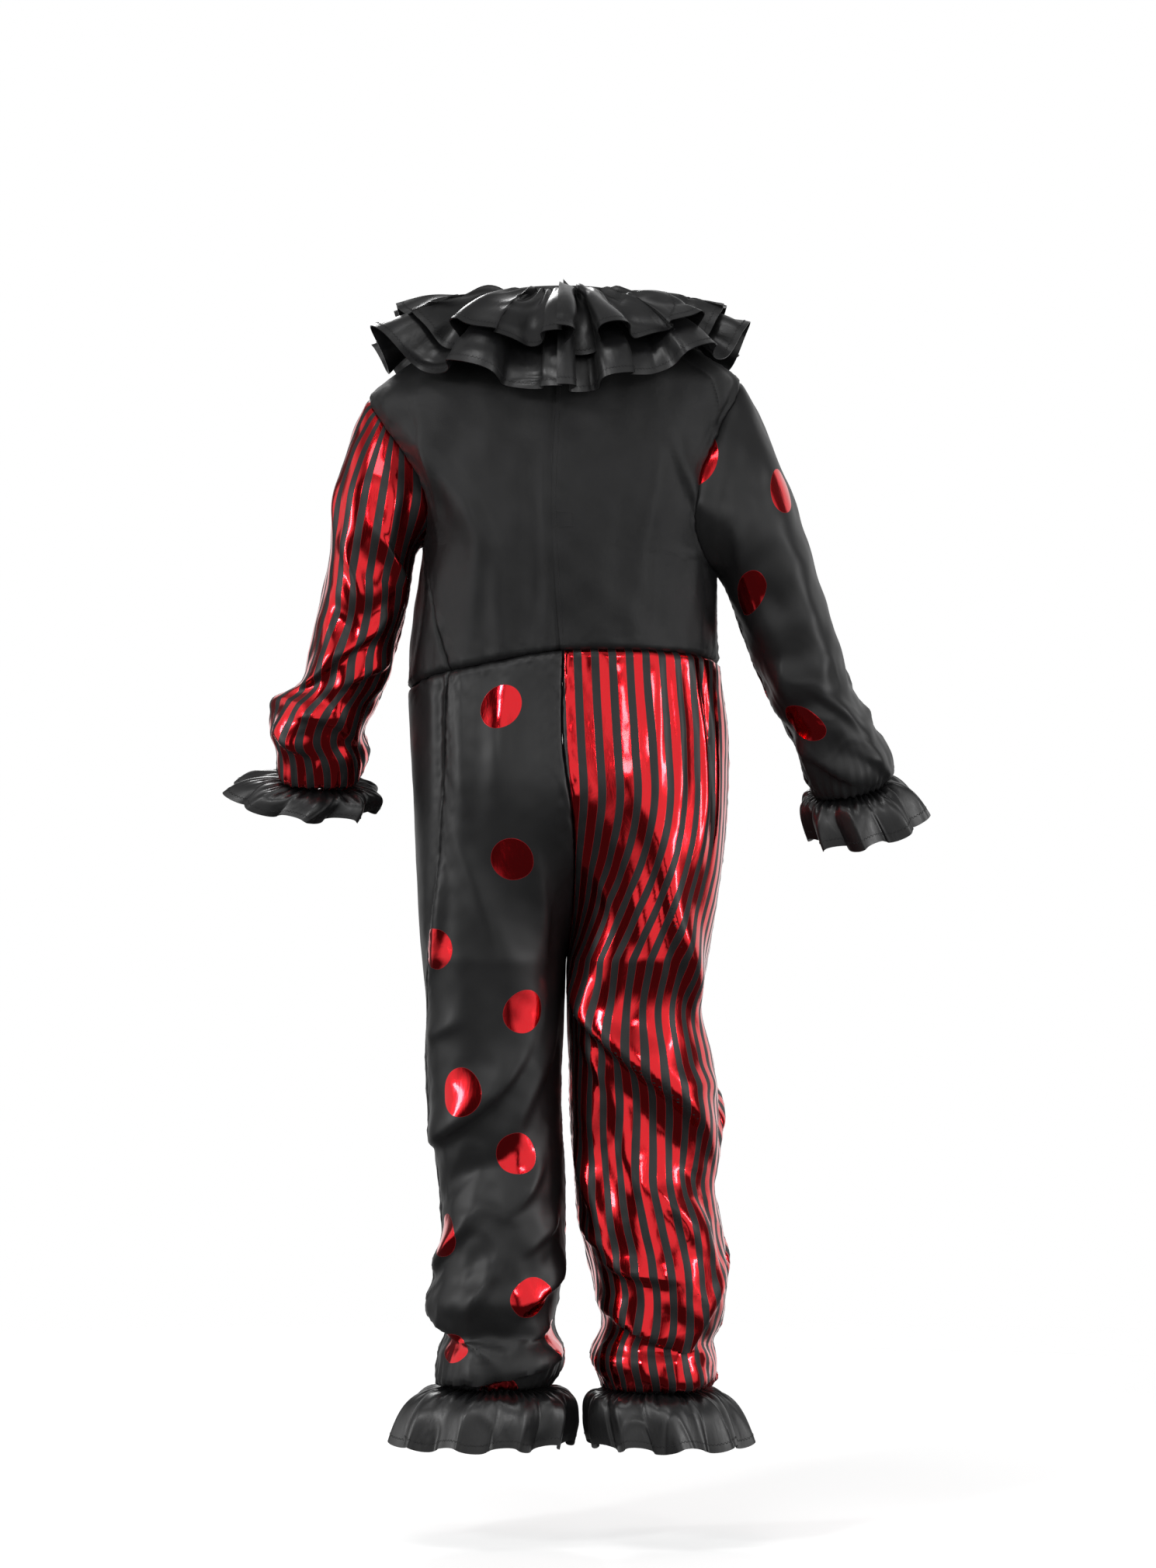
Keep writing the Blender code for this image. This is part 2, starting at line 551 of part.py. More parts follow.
def band_point(turn, up):
    """The neckband, standing on the neckline. up runs from 0 at its foot to 1 at its top."""
    foot = neck_point(turn) + points(0.0, 0.0, BAND_LIFT)
    inward = -foot * np.array([1.0, 1.0, 0.0])
    inward = inward / np.linalg.norm(inward, axis=-1, keepdims=True)
    from_end = turn - (-270 + BAND_OPENING)
    corner = BAND_CORNER * np.clip(1 - from_end / BAND_CORNER_SPAN, 0, 1)
    rise = (BAND_HEIGHT + corner) * up
    return foot + inward * (BAND_LEAN * up)[..., None] + points(0.0, 0.0, rise)


def flute(flutes, turn, distance):
    """Rise and sideways swing of a set of flutes at a turn and a distance from the band."""
    counted = [(crest, 360.0 * k) for k, crest in enumerate(flutes.crests)]
    phase = along(counted, turn)
    uneven = 1 + SIDE_FULLNESS * cosd(2 * turn)
    uneven = uneven + sum(size * sind(pace * turn + start) for size, pace, start in UNEVEN)
    grown = (distance / flutes.distance) ** FLUTE_GROWTH
    height = flutes.root_height + (flutes.hem_height - flutes.root_height) * grown
    return height * uneven * cosd(phase), flutes.swing * grown * sind(2 * phase)


def ruff_point(tier, turn, out):
    """One tier of the neck ruffle. out runs from 0 at the band to 1 at the hem."""
    start_slope, end_slope, length = np.moveaxis(through(RUFF[tier], (turn + 180) % 360 - 180), -1, 0)
    start, end = np.radians(start_slope), np.radians(end_slope)
    bend = end - start
    slope = start + bend * out
    reach = length * (np.sin(slope) - np.sin(start)) / bend
    fall = length * (np.cos(start) - np.cos(slope)) / bend
    root = neck_point(turn) + points(0.0, 0.0, BAND_LIFT + RUFF_LIFT[tier])
    away = root * np.array([1.0, 1.0, 0.0])
    away = away / np.linalg.norm(away, axis=-1, keepdims=True)
    clear = SEAM_GAP + WIDE_FLUTES.root_height / 2 - BAND_LEAN * RUFF_LIFT[tier] / BAND_HEIGHT
    aside = np.cross((0.0, 0.0, 1.0), away)
    if tier == "lower":
        wave, swing = flute(WIDE_FLUTES, turn, length * out)
    else:
        wide_wave, wide_swing = flute(WIDE_FLUTES, turn, length * out)
        wave, swing = flute(NARROW_FLUTES, turn, length * out)
        wave, swing = wave + UPPER_SHARE * wide_wave, swing + UPPER_SHARE * wide_swing
    lift = away * (np.sin(slope) * wave)[..., None] + points(0.0, 0.0, np.cos(slope) * wave)
    return root + away * (clear + reach)[..., None] + points(0.0, 0.0, -fall) + lift + aside * swing[..., None]


def frill_point(start_ring, hem, side, turn, out):
    """A gathered frill from a ring to its hem. out runs from 0 to 1."""
    centre, sideways, backward = start_ring
    end_centre = points(side * (hem.outer + hem.inner) / 2, hem.back, -(hem.outer_drop + hem.inner_drop) / 2)
    end_sideways = points(side * (hem.outer - hem.inner) / 2, 0.0, (hem.inner_drop - hem.outer_drop) / 2)
    end_backward = points(0.0, hem.half_depth * cosd(hem.tip), -hem.half_depth * sind(hem.tip))
    flare, along_it = (1 - (1 - out) ** LEVEL_START)[..., None], (out**HANG)[..., None]
    c, s = cosd(turn)[..., None], sind(turn)[..., None]
    arm = (sideways + (end_sideways - sideways) * flare) * c + (backward + (end_backward - backward) * flare) * s
    reach = np.linalg.norm(arm, axis=-1)
    phase = hem.waves * (turn + 5 * sind(2 * turn + 30))
    wave = (GATHER_WAVE + (hem.wave - GATHER_WAVE) * out**0.9) * sind(phase) * (1 + 0.2 * sind(3 * turn + 70))
    rise = HEM_LIFT * out**2 * sind(phase + 60)
    middle = centre + (end_centre - centre) * along_it
    return middle + arm * (1 + wave / reach)[..., None] + points(0.0, 0.0, rise)


# --- Making objects ------------------------------------------------------------------------------------


def clear_scene():
    for obj in list(bpy.data.objects):
        bpy.data.objects.remove(obj, do_unlink=True)


def material(finish):
    made = bpy.data.materials.get(finish.name) or bpy.data.materials.new(finish.name)
    made.use_nodes = True
    shader = made.node_tree.nodes["Principled BSDF"]
    shader.inputs["Base Color"].default_value = (*finish.colour, 1.0)
    shader.inputs["Roughness"].default_value = finish.roughness
    shader.inputs["Metallic"].default_value = finish.metallic
    made.diffuse_color = (*finish.colour, 1.0)
    return made


def drawn_back(skin, edges):
    """The skin with the named edges moved in by half a seam's gap, so that a neighbour stays clear of it."""
    skin = skin.copy()
    pairs = {"first_row": (0, 1), "last_row": (-1, -2)}
    for edge in edges:
        across = skin if edge in pairs else np.swapaxes(skin, 0, 1)
        here, next_in = pairs.get(edge) or {"first_column": (0, 1), "last_column": (-1, -2)}[edge]
        step = across[next_in] - across[here]
        length = np.linalg.norm(step, axis=-1, keepdims=True)
        across[here] += step / length * SEAM_GAP / 2
    return skin


def cloth_wall(name, outer, inward, thickness, finish, collection, closed, seams=()):
    """A wall of cloth as one object: an outer skin, an inner skin moved in by the thickness, and its edges.

    outer and inward are grids of points and unit vectors, rows by columns. A closed grid's last column meets its
    first. A Solidify modifier would lean each panel's edges by that panel's own faces, and neighbours would cut
    into each other, so both skins are lofted here. Each square is cut along its shorter diagonal, the same one
    in both skins, because a bent square that is cut both ways would let the skins pass through each other.
    """
    inner = drawn_back(outer + inward * thickness, seams)
    outer = drawn_back(outer, seams)
    facing = np.cross(np.diff(outer, axis=1)[:-1], np.diff(outer, axis=0)[:, :-1])
    if np.sum(facing * inward[:-1, :-1]) > 0:
        outer, inner = outer[:, ::-1], inner[:, ::-1]
    rows, columns = outer.shape[:2]
    vertices = np.concatenate([outer.reshape(-1, 3), inner.reshape(-1, 3)])

    def at(row, column, skin):
        return skin * rows * columns + row * columns + column % columns

    faces = []
    spans = columns if closed else columns - 1
    for row in range(rows - 1):
        for column in range(spans):
            a, b, c, d = (row, column), (row, column + 1), (row + 1, column + 1), (row + 1, column)
            place = [outer[corner[0], corner[1] % columns] for corner in (a, b, c, d)]
            if np.linalg.norm(place[0] - place[2]) < np.linalg.norm(place[1] - place[3]):
                halves = ((a, b, c), (a, c, d))
            else:
                halves = ((b, c, d), (b, d, a))
            for half in halves:
                faces.append([at(*corner, 0) for corner in half])
                faces.append([at(*corner, 1) for corner in reversed(half)])
    for column in range(spans):
        for row, a, b in ((0, column + 1, column), (rows - 1, column, column + 1)):
            faces.append([at(row, a, 0), at(row, b, 0), at(row, b, 1), at(row, a, 1)])
    if not closed:
        for row in range(rows - 1):
            for column, a, b in ((0, row, row + 1), (columns - 1, row + 1, row)):
                faces.append([at(a, column, 0), at(b, column, 0), at(b, column, 1), at(a, column, 1)])
    mesh = bpy.data.meshes.new(name)
    mesh.from_pydata(vertices.tolist(), [], faces)
    mesh.validate()
    mesh.materials.append(material(finish))
    mesh.shade_smooth()
    made = bpy.data.objects.new(name, mesh)
    collection.objects.link(made)
    return made


def edge_between(seam, start, end, rows):
    """Points of a side seam, as turn and drop, between two drops."""
    drops = np.linspace(start, end, rows + 1)
    return np.stack([along(seam, drops), drops], axis=-1)


def armhole_edge(name, angles):
    return np.stack(armhole_turn_drop(name, angles), axis=-1)


def shoulder_edge(name, rows):
    """The shoulder seam, from the top of the armhole to the neckline."""
    turn = 0.0 if name == "left" else 180.0
    drops = np.linspace(ARMHOLES[name].top, neckline(turn), rows + 1)
    return np.stack([np.full(rows + 1, turn), drops], axis=-1)


def seam_angle(name):
    """The angle on the armhole where the side seam runs into it."""
    angles = np.linspace(120, 230, 2201)
    turns = armhole_turn_drop(name, angles)[0]
    target = ARMHOLES[name].seam_turn if name == "left" else 180 - ARMHOLES[name].seam_turn
    return angles[np.argmin(np.abs(turns - target))]


def armhole_angles(name):
    """The angles at which the armhole is cut: the back panel's, then the front panel's."""
    meet = seam_angle(name)
    back = np.linspace(meet, 0, BACK_ARMHOLE_ROWS + 1)
    front = np.linspace(meet, 360, FRONT_ARMHOLE_ROWS + 1)
    return back, front


def panel_edge(name, waist, angles):
    """One upright edge of a bodice panel: side seam, armhole and shoulder seam, as turns and drops."""
    seam = LEFT_SIDE_SEAM if name == "left" else RIGHT_SIDE_SEAM
    hole = armhole_edge(name, angles)
    start_turn = along(seam, SEAM_FOOT_DROP)
    side = edge_between(seam, waist(start_turn), hole[0, 1], SIDE_ROWS)
    side[:, 0] += (hole[0, 0] - side[-1, 0]) * np.linspace(0, 1, SIDE_ROWS + 1)
    return np.concatenate([side, hole[1:], shoulder_edge(name, SHOULDER_ROWS)[1:]])


def patch(first, last, foot, top, columns):
    """A Coons patch in turn and drop between two upright edges, a foot curve and a top curve."""
    across = np.linspace(0, 1, columns + 1)
    progress = (first[0, 1] - first[:, 1]) / (first[0, 1] - first[-1, 1])
    progress += (last[0, 1] - last[:, 1]) / (last[0, 1] - last[-1, 1])
    up = (progress / 2)[:, None, None]
    u = across[None, :, None]
    foot_turn = first[0, 0] + (last[0, 0] - first[0, 0]) * across
    top_turn = first[-1, 0] + (last[-1, 0] - first[-1, 0]) * across
    foot_edge = np.stack([foot_turn, foot(foot_turn)], axis=-1)[None]
    top_edge = np.stack([top_turn, top(top_turn)], axis=-1)[None]
    sides = (1 - u) * first[:, None] + u * last[:, None]
    ends = (1 - up) * foot_edge + up * top_edge
    corners = (1 - up) * ((1 - u) * first[0] + u * last[0]) + up * ((1 - u) * first[-1] + u * last[-1])
    return sides + ends - corners


def back_waist(turn):
    return along(BACK_WAIST, turn)


def front_waist(turn):
    return along(FRONT_WAIST, turn)


def lap_edge(shift, drops):
    """A line down the back beside the lap, `shift` towards the wearer's left of it."""
    return np.stack([turn_at(along(BACK_LAP, drops) + shift, drops), drops], axis=-1)


def make_bodice(collection):
    """The front, and two backs that lap in the middle: the right back lies over the left one."""
    left_back, left_front = armhole_angles("left")
    right_back, right_front = armhole_angles("right")

    drops = np.linspace(back_waist(90.0), neckline(90.0), SIDE_ROWS + BACK_ARMHOLE_ROWS + SHOULDER_ROWS + 1)

    side = panel_edge("left", back_waist, left_back)
    main = patch(side, lap_edge(LAP_GAP + LAP_STEP, drops), back_waist, neckline, BACK_COLUMNS["left"])
    under = [lap_edge(shift, drops)[:, None] for shift in (LAP_GAP, -UNDERLAP)]
    grid = np.concatenate([main, *under], axis=1)
    outward = normals(trunk_point, grid[..., 0], grid[..., 1])
    sunk = np.zeros(grid.shape[:2])
    sunk[:, -2:] = WALL + LAP_CLEARANCE
    outer = trunk_point(grid[..., 0], grid[..., 1]) - outward * sunk[..., None]
    cloth_wall("bodice_back_left", outer, -outward, WALL, BLACK_CLOTH, collection, False,
               ("first_row", "first_column", "last_row"))

    side = panel_edge("right", back_waist, right_back)
    grid = patch(lap_edge(0.0, drops), side, back_waist, neckline, BACK_COLUMNS["right"])
    outward = normals(trunk_point, grid[..., 0], grid[..., 1])
    outer = trunk_point(grid[..., 0], grid[..., 1])
    cloth_wall("bodice_back_right", outer, -outward, WALL, BLACK_CLOTH, collection, False,
               ("first_row", "last_column", "last_row"))

    left = panel_edge("left", front_waist, left_front)
    right = panel_edge("right", front_waist_right, right_front)
    right[:, 0] -= 360
    grid = patch(left, right, front_waist, neckline, FRONT_COLUMNS)
    outward = normals(trunk_point, grid[..., 0], grid[..., 1])
    outer = trunk_point(grid[..., 0], grid[..., 1])
    cloth_wall("bodice_front", outer, -outward, WALL, BLACK_CLOTH, collection, False,
               ("first_row", "first_column", "last_column", "last_row"))


def front_waist_right(turn):
    """The front's waist, asked for at a turn of the back's count."""
    return front_waist(turn - 360)


def make_sleeve(name, finish, collection):
    """A sleeve, cut round at the same places as the armhole."""
    back, front = armhole_angles(name)
    turns = np.concatenate([back[::-1], front[1:-1]])
    lengths = np.linspace(0, sleeve_lengths(name)[-1], SLEEVE_ROWS + 1)
    turn, length = np.meshgrid(turns, lengths)

    def surface(a, b):
        return sleeve_point(name, a, b)

    outer = surface(turn, length)
    side = 1 if name == "left" else -1
    inward = -normals(surface, turn, np.clip(length, 0.0005, lengths[-1] - 0.0005)) * side
    bodice_turn, bodice_drop = armhole_turn_drop(name, turn[0])
    bodice = normals(trunk_point, bodice_turn, bodice_drop)
    agree = ease(np.sum(bodice * -inward[0], axis=-1, keepdims=True) * 2)
    first = inward[0] * (1 - agree) - bodice * agree
    inward[0] = first / np.linalg.norm(first, axis=-1, keepdims=True)
    centre = sleeve_ring(name, np.full_like(turn, len(SLEEVES[name]) - 1.0))[0]
    level = centre - outer
    inward[-1] = (level / np.linalg.norm(level, axis=-1, keepdims=True))[-1]
    cloth_wall(f"sleeve_{name}", outer, inward, WALL, finish, collection, True, ("first_row",))


def leg_drops(name, waist_drop):
    """The drops of a leg's rows from the waist to the ankle, closer together at the ankle."""
    ankle = LEGS[name][-1].drop
    stops = ((waist_drop, SEAT_DROP, SEAT_ROWS), (SEAT_DROP, CROTCH_DROP, THIGH_ROWS),
             (CROTCH_DROP, CALF_DROP, SHANK_ROWS), (CALF_DROP, ankle, ANKLE_ROWS))
    rows = [np.linspace(start, end, count + 1)[:-1] for start, end, count in stops]
    return np.concatenate([*rows, [ankle]])


def make_leg(name, finish, collection):
    """The back and front panel of one leg, from the middle seam and inner seam to the side seam."""
    side = 1 if name == "left" else -1

    def surface(a, b):
        return leg_point(name, a, b)

    for face, inner_turn, waist in (("back", 180.0, back_waist), ("front", -180.0, front_waist)):
        columns = []
        for share in np.linspace(0, 1, LEG_COLUMNS + 1):
            top_turn = along(LEG_SIDE_SEAM[name], SEAM_FOOT_DROP)
            trunk_turn = (top_turn + (inner_turn - top_turn) * share) / 2
            if side == -1:
                trunk_turn = 180 - trunk_turn if face == "back" else -180 - trunk_turn
            drops = leg_drops(name, waist(trunk_turn))
            seam = along(LEG_SIDE_SEAM[name], drops)
            columns.append(np.stack([seam + (inner_turn - seam) * share, drops], axis=-1))
        grid = np.stack(columns, axis=1)
        turn, drop = grid[..., 0], grid[..., 1]
        inner_safe = np.clip(turn, -179.5, 179.5)
        outer = surface(turn, drop)
        outward = normals(surface, inner_safe, drop) * side
        centre = outer[-1].mean(axis=0)
        level = outer[-1] - np.array([centre[0], 0.0, centre[2]])
        outward[-1] = level / np.linalg.norm(level, axis=-1, keepdims=True)
        cloth_wall(f"leg_{name}_{face}", outer, -outward, WALL, finish, collection, False,
                   ("first_row", "first_column", "last_column"))


def make_band(collection):
    turns = np.linspace(90 - BAND_OPENING, -270 + BAND_OPENING, BAND_COLUMNS + 1)
    turn, up = np.meshgrid(turns, np.array([0.0, 1.0]))
    outer = band_point(turn, up)
    inward = -outer * np.array([1.0, 1.0, 0.0])
    inward = inward / np.linalg.norm(inward, axis=-1, keepdims=True)
    cloth_wall("neckband", outer, inward, BAND_WALL, BLACK_SATIN, collection, False)


def make_ruff(tier, collection):
    turns = np.linspace(90 - RUFF_OPENING, -270 + RUFF_OPENING, RUFF_COLUMNS[tier] + 1)
    turn, out = np.meshgrid(turns, np.linspace(0, 1, RUFF_ROWS + 1))

    def surface(a, b):
        return ruff_point(tier, a, b)

    inward = -normals(surface, turn, np.clip(out, 0.01, 0.99), 0.2, 0.01)
    inward[0] = (0.0, 0.0, -1.0)
    cloth_wall(f"neck_ruffle_{tier}", surface(turn, out), inward, FRILL_WALL, BLACK_SATIN, collection, False)


def make_frill(name, start_ring, hem, side, rows, collection):
    turns = np.linspace(0, 360, hem.waves * POINTS_PER_WAVE + 1)[:-1]
    turn, out = np.meshgrid(turns, np.linspace(0, 1, rows + 1))

    def surface(a, b):
        return frill_point(start_ring, hem, side, a, b)

    outer = surface(turn, out)
    inward = -normals(surface, turn, np.clip(out, 0.01, 0.99), 0.2, 0.01) * side
    radial = outer[0] - start_ring[0]
    inward[0] = -radial / np.linalg.norm(radial, axis=-1, keepdims=True)
    cloth_wall(name, outer, inward, FRILL_WALL, BLACK_SATIN, collection, True)


def make_frills(collection):
    for name, side in (("left", 1), ("right", -1)):
        wrist = len(SLEEVES[name]) - 1.0
        centre, sideways, backward = sleeve_ring(name, np.array(wrist))
        axis = np.cross(sideways, backward)
        axis = axis / np.linalg.norm(axis) * SEAM_GAP
        axis = -axis if axis[2] > 0 else axis
        make_frill(f"cuff_frill_{name}", (centre + axis, sideways, backward), CUFF_FRILLS[name], side, CUFF_ROWS,
                   collection)
        ankle = LEGS[name][-1]
        centre = points(side * (ankle.outer + ankle.inner) / 2, (ankle.back - ankle.front) / 2,
                        -ankle.drop - SEAM_GAP)
        sideways = points(side * (ankle.outer - ankle.inner) / 2, 0.0, 0.0)
        backward = points(0.0, (ankle.back + ankle.front) / 2, 0.0)
        make_frill(f"ankle_frill_{name}", (centre, sideways, backward), ANKLE_FRILLS[name], side,
                   ANKLE_FRILL_ROWS, collection)


def main():
    clear_scene()
    suit = bpy.data.collections.new("clown_costume")
    bpy.context.scene.collection.children.link(suit)
    make_bodice(suit)
    make_sleeve("left", RED_FOIL, suit)
    make_sleeve("right", BLACK_CLOTH, suit)
    make_leg("left", BLACK_CLOTH, suit)
    make_leg("right", RED_FOIL, suit)
    make_band(suit)
    make_ruff("lower", suit)
    make_ruff("upper", suit)
    make_frills(suit)


main()
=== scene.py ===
# %% [markdown]
# # A clown suit, from cloth to light
# The suit is one piece of clothing: a black bodice, two sleeves, two trouser legs, a neck ruffle of two
# tiers and four frills. The solids of its panels are loaded first. They are stiff walls 1.3 to 2 mm thick,
# and each one is then replaced by thin cloth that has the same form with finer folds, seams, hems and
# prints. Everything is in metres: +Z is up, the wearer faces -Y, +X is the wearer's left, and the origin
# lies between the shoulders. A height is given as a drop, which is metres below the origin.

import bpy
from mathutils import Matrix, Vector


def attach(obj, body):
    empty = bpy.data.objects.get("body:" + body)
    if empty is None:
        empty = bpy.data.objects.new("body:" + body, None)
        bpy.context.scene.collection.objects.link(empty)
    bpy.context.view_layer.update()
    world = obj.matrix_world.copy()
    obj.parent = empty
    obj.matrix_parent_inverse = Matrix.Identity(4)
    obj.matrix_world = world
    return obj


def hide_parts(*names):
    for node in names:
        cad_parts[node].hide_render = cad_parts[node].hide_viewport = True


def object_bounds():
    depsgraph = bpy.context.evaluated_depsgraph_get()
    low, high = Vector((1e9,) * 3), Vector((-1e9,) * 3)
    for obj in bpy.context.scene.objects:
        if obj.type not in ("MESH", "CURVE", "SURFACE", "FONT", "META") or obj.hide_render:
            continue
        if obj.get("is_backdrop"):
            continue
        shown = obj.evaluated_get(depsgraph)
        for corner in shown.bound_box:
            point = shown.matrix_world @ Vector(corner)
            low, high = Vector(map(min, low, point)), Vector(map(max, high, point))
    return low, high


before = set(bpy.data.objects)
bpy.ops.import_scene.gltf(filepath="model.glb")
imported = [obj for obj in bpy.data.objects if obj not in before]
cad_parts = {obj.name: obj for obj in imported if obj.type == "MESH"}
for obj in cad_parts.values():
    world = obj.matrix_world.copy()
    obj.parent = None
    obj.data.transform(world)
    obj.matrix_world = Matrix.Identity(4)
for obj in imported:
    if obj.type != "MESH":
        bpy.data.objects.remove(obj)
solid_box = [list(corner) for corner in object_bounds()]
print("solids:", ", ".join(sorted(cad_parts)))

# %% The other modules, and the suit's width, depth and height
from collections import namedtuple

import bpy
import numpy as np

print("suit:", [round(high - low, 3) for low, high in zip(*solid_box)], "m")

# %% [markdown]
# ## Smooth curves from short tables
# A garment's outline could be modelled by pushing points about by hand. Here each outline is a short table
# of measured places, and `through` draws a smooth curve through its rows, so one number changes one place.

# %% Curves through tables


def through(rows, at):
    """Smooth values of a table's other columns where its first column is `at`."""
    table = np.array(rows, float)
    places, values = table[:, 0], table[:, 1:]
    slopes = np.gradient(values, places, axis=0)
    at = np.clip(np.asarray(at, float), places[0], places[-1])
    k = np.clip(np.searchsorted(places, at, side="right") - 1, 0, len(places) - 2)
    step = (places[k + 1] - places[k])[..., None]
    t = (at[..., None] - places[k][..., None]) / step
    return (
        (1 + 2 * t) * (1 - t) ** 2 * values[k]
        + t * (1 - t) ** 2 * step * slopes[k]
        + t**2 * (3 - 2 * t) * values[k + 1]
        + t**2 * (t - 1) * step * slopes[k + 1]
    )


def along(rows, at):
    """The one value of a two-column table."""
    return through(rows, at)[..., 0]


def ease(t):
    t = np.clip(t, 0, 1)
    return t * t * (3 - 2 * t)


def cosd(turn):
    return np.cos(np.radians(turn))


def sind(turn):
    return np.sin(np.radians(turn))


def points(x, y, z):
    return np.stack(np.broadcast_arrays(x, y, z), axis=-1).astype(float)


def unit(vectors):
    return vectors / np.maximum(np.linalg.norm(vectors, axis=-1, keepdims=True), 1e-12)


print("halfway from 0 to 1:", float(ease(0.5)))

# %% [markdown]
# ## The trunk
# The bodice and the hips are one barrel. It could be sculpted, but a ring at each drop, each with its own
# reach to the left, right, back and front, keeps it easy to measure. The rings are squared off a little, as
# a body's are, and rounder towards the neck.

# %% Rings of the trunk

SQUARENESS = 0.09
NECK_SIDE_DROP = -0.007
ROUND_NECK = 0.070

Ring = namedtuple("Ring", "drop left right back front")
TRUNK = (
    Ring(-0.014, 0.052, 0.052, 0.050, 0.052),
    Ring(0.000, 0.064, 0.064, 0.056, 0.060),
    Ring(0.012, 0.084, 0.083, 0.062, 0.066),
    Ring(0.025, 0.106, 0.108, 0.068, 0.073),
    Ring(0.045, 0.137, 0.140, 0.077, 0.082),
    Ring(0.060, 0.158, 0.160, 0.083, 0.088),
    Ring(0.075, 0.174, 0.163, 0.088, 0.092),
    Ring(0.108, 0.166, 0.158, 0.096, 0.098),
    Ring(0.144, 0.150, 0.151, 0.101, 0.102),
    Ring(0.180, 0.136, 0.146, 0.104, 0.104),
    Ring(0.212, 0.128, 0.142, 0.105, 0.104),
    Ring(0.240, 0.130, 0.141, 0.104, 0.103),
    Ring(0.290, 0.136, 0.141, 0.102, 0.104),
    Ring(0.342, 0.140, 0.145, 0.104, 0.106),
    Ring(0.380, 0.138, 0.150, 0.110, 0.106),
    Ring(0.425, 0.135, 0.151, 0.116, 0.104),
    Ring(0.475, 0.134, 0.148, 0.114, 0.100),
    Ring(0.535, 0.131, 0.141, 0.104, 0.092),
    Ring(0.592, 0.126, 0.131, 0.090, 0.080),
)


def turned(turn, fill=SQUARENESS):
    """Cosine and sine of a turn, filled out towards the corners of the ring."""
    c, s = cosd(turn), sind(turn)
    return c * (1 + fill * s * s), s * (1 + fill * c * c)


def trunk_fill(drop):
    return SQUARENESS * ease((np.asarray(drop, float) - NECK_SIDE_DROP) / ROUND_NECK)


def trunk_form(turn, drop):
    """Turn 0 is the wearer's left side, 90 the middle of the back and 180 the right side."""
    left, right, back, front = np.moveaxis(through(TRUNK, drop), -1, 0)
    c, s = turned(turn, trunk_fill(drop))
    side = left + (right - left) * ease(0.5 - c / 0.4)
    depth = np.where(s > 0, back, front)
    return points(side * c, depth * s, -np.asarray(drop, float))


def turn_at(reach, drop):
    """The turn at which the back lies `reach` towards the wearer's left."""
    left, right = np.moveaxis(through(TRUNK, drop), -1, 0)[:2]
    return 90 - np.degrees(np.arcsin(reach / ((left + right) / 2 * (1 + trunk_fill(drop)))))


waist = trunk_form(np.linspace(0, 360, 361), np.full(361, 0.325))
print("round the waist:", round(float(np.linalg.norm(np.diff(waist, axis=0), axis=1).sum()), 3), "m")

# %% [markdown]
# ## Folds
# Worn cloth folds along lines: it hangs from the armhole, drags across the knee and piles up above a cuff. A
# brush could sculpt such folds, but they would be hard to place again. Here a fold is a row that says where
# its line starts and ends, how high and wide it is, and how far it rolls over to one side. Its height fades
# along the line, and the side it rolls to is the steep one, as where one layer laps over the next.

# %% Folds laid on a form

# turn and place to to_turn and to_place is the line. roll is positive where the crest leans to the left of
# someone who walks along the line, seen from outside, and bow is how far the middle of the line is pushed
# that way.
Fold = namedtuple("Fold", "turn place to_turn to_place height width roll bow")
STEEP_SIDE = 0.55  # how much of its width a fold has left on the side it rolls to
TURN_STEP, PLACE_STEP = 0.2, 0.0005


def directions(form, turn, place, side=1):
    """Unit vectors outward, along the turn and down at each point of a form."""
    round_it = form(turn + TURN_STEP, place) - form(turn - TURN_STEP, place)
    down_it = form(turn, place + PLACE_STEP) - form(turn, place - PLACE_STEP)
    return unit(np.cross(down_it, round_it)) * side, unit(round_it), unit(down_it)


def folded(form, folds, turn, place, reach, side=1, calm=1.0):
    """The form with its folds. reach is the radius that makes a turn into a length."""
    reach = np.broadcast_to(reach, np.shape(turn))
    outward, aside, down = directions(form, turn, place, side)
    moved = form(turn, place)
    for fold in folds:
        run_aside = np.radians(fold.to_turn - fold.turn) * reach
        run_down = fold.to_place - fold.place
        length = np.hypot(run_aside, run_down)
        run_aside, run_down = run_aside / length, run_down / length
        middle_turn = (fold.turn + fold.to_turn) / 2
        here_aside = np.radians((turn - middle_turn + 180) % 360 - 180) * reach
        here_down = place - (fold.place + fold.to_place) / 2
        run = (here_aside * run_aside + here_down * run_down) / (length / 2)
        across = (here_aside * run_down - here_down * run_aside) * side - fold.bow * (1 - run**2)
        lean = np.tanh(fold.roll * 1.5)
        ratio = np.where(across * lean > 0, 1 - (1 - STEEP_SIDE) * abs(lean), 1 + 0.5 * abs(lean))
        swell = fold.height * np.exp(-((across / (fold.width * ratio)) ** 2) - np.abs(run) ** 3 * 0.9) * calm
        shove = (aside * run_down[..., None] - down * run_aside[..., None]) * side
        moved = moved + outward * swell[..., None] + shove * (fold.roll * np.abs(swell))[..., None]
    return moved


def ripples(where, size, seed, stretch=(1, 1, 1), waves=20):
    """Smooth uneven waves through space, about 1 high, with `size` metres from crest to crest."""
    generator = np.random.default_rng(seed)
    total = 0.0
    for _ in range(waves):
        direction = unit(generator.normal(size=3)) / np.array(stretch)
        wave = direction * 2 * np.pi / size * generator.uniform(0.7, 1.4)
        total = total + np.sin(where @ wave + generator.uniform(0, 2 * np.pi))
    return total / np.sqrt(waves / 2)


def creases(where, size, seed, stretch=(1, 1, 1)):
    """Sharp-backed little ridges, from 0 to about 1, where the ripples change sign."""
    return np.exp(-((ripples(where, size, seed, stretch) / 0.35) ** 2))


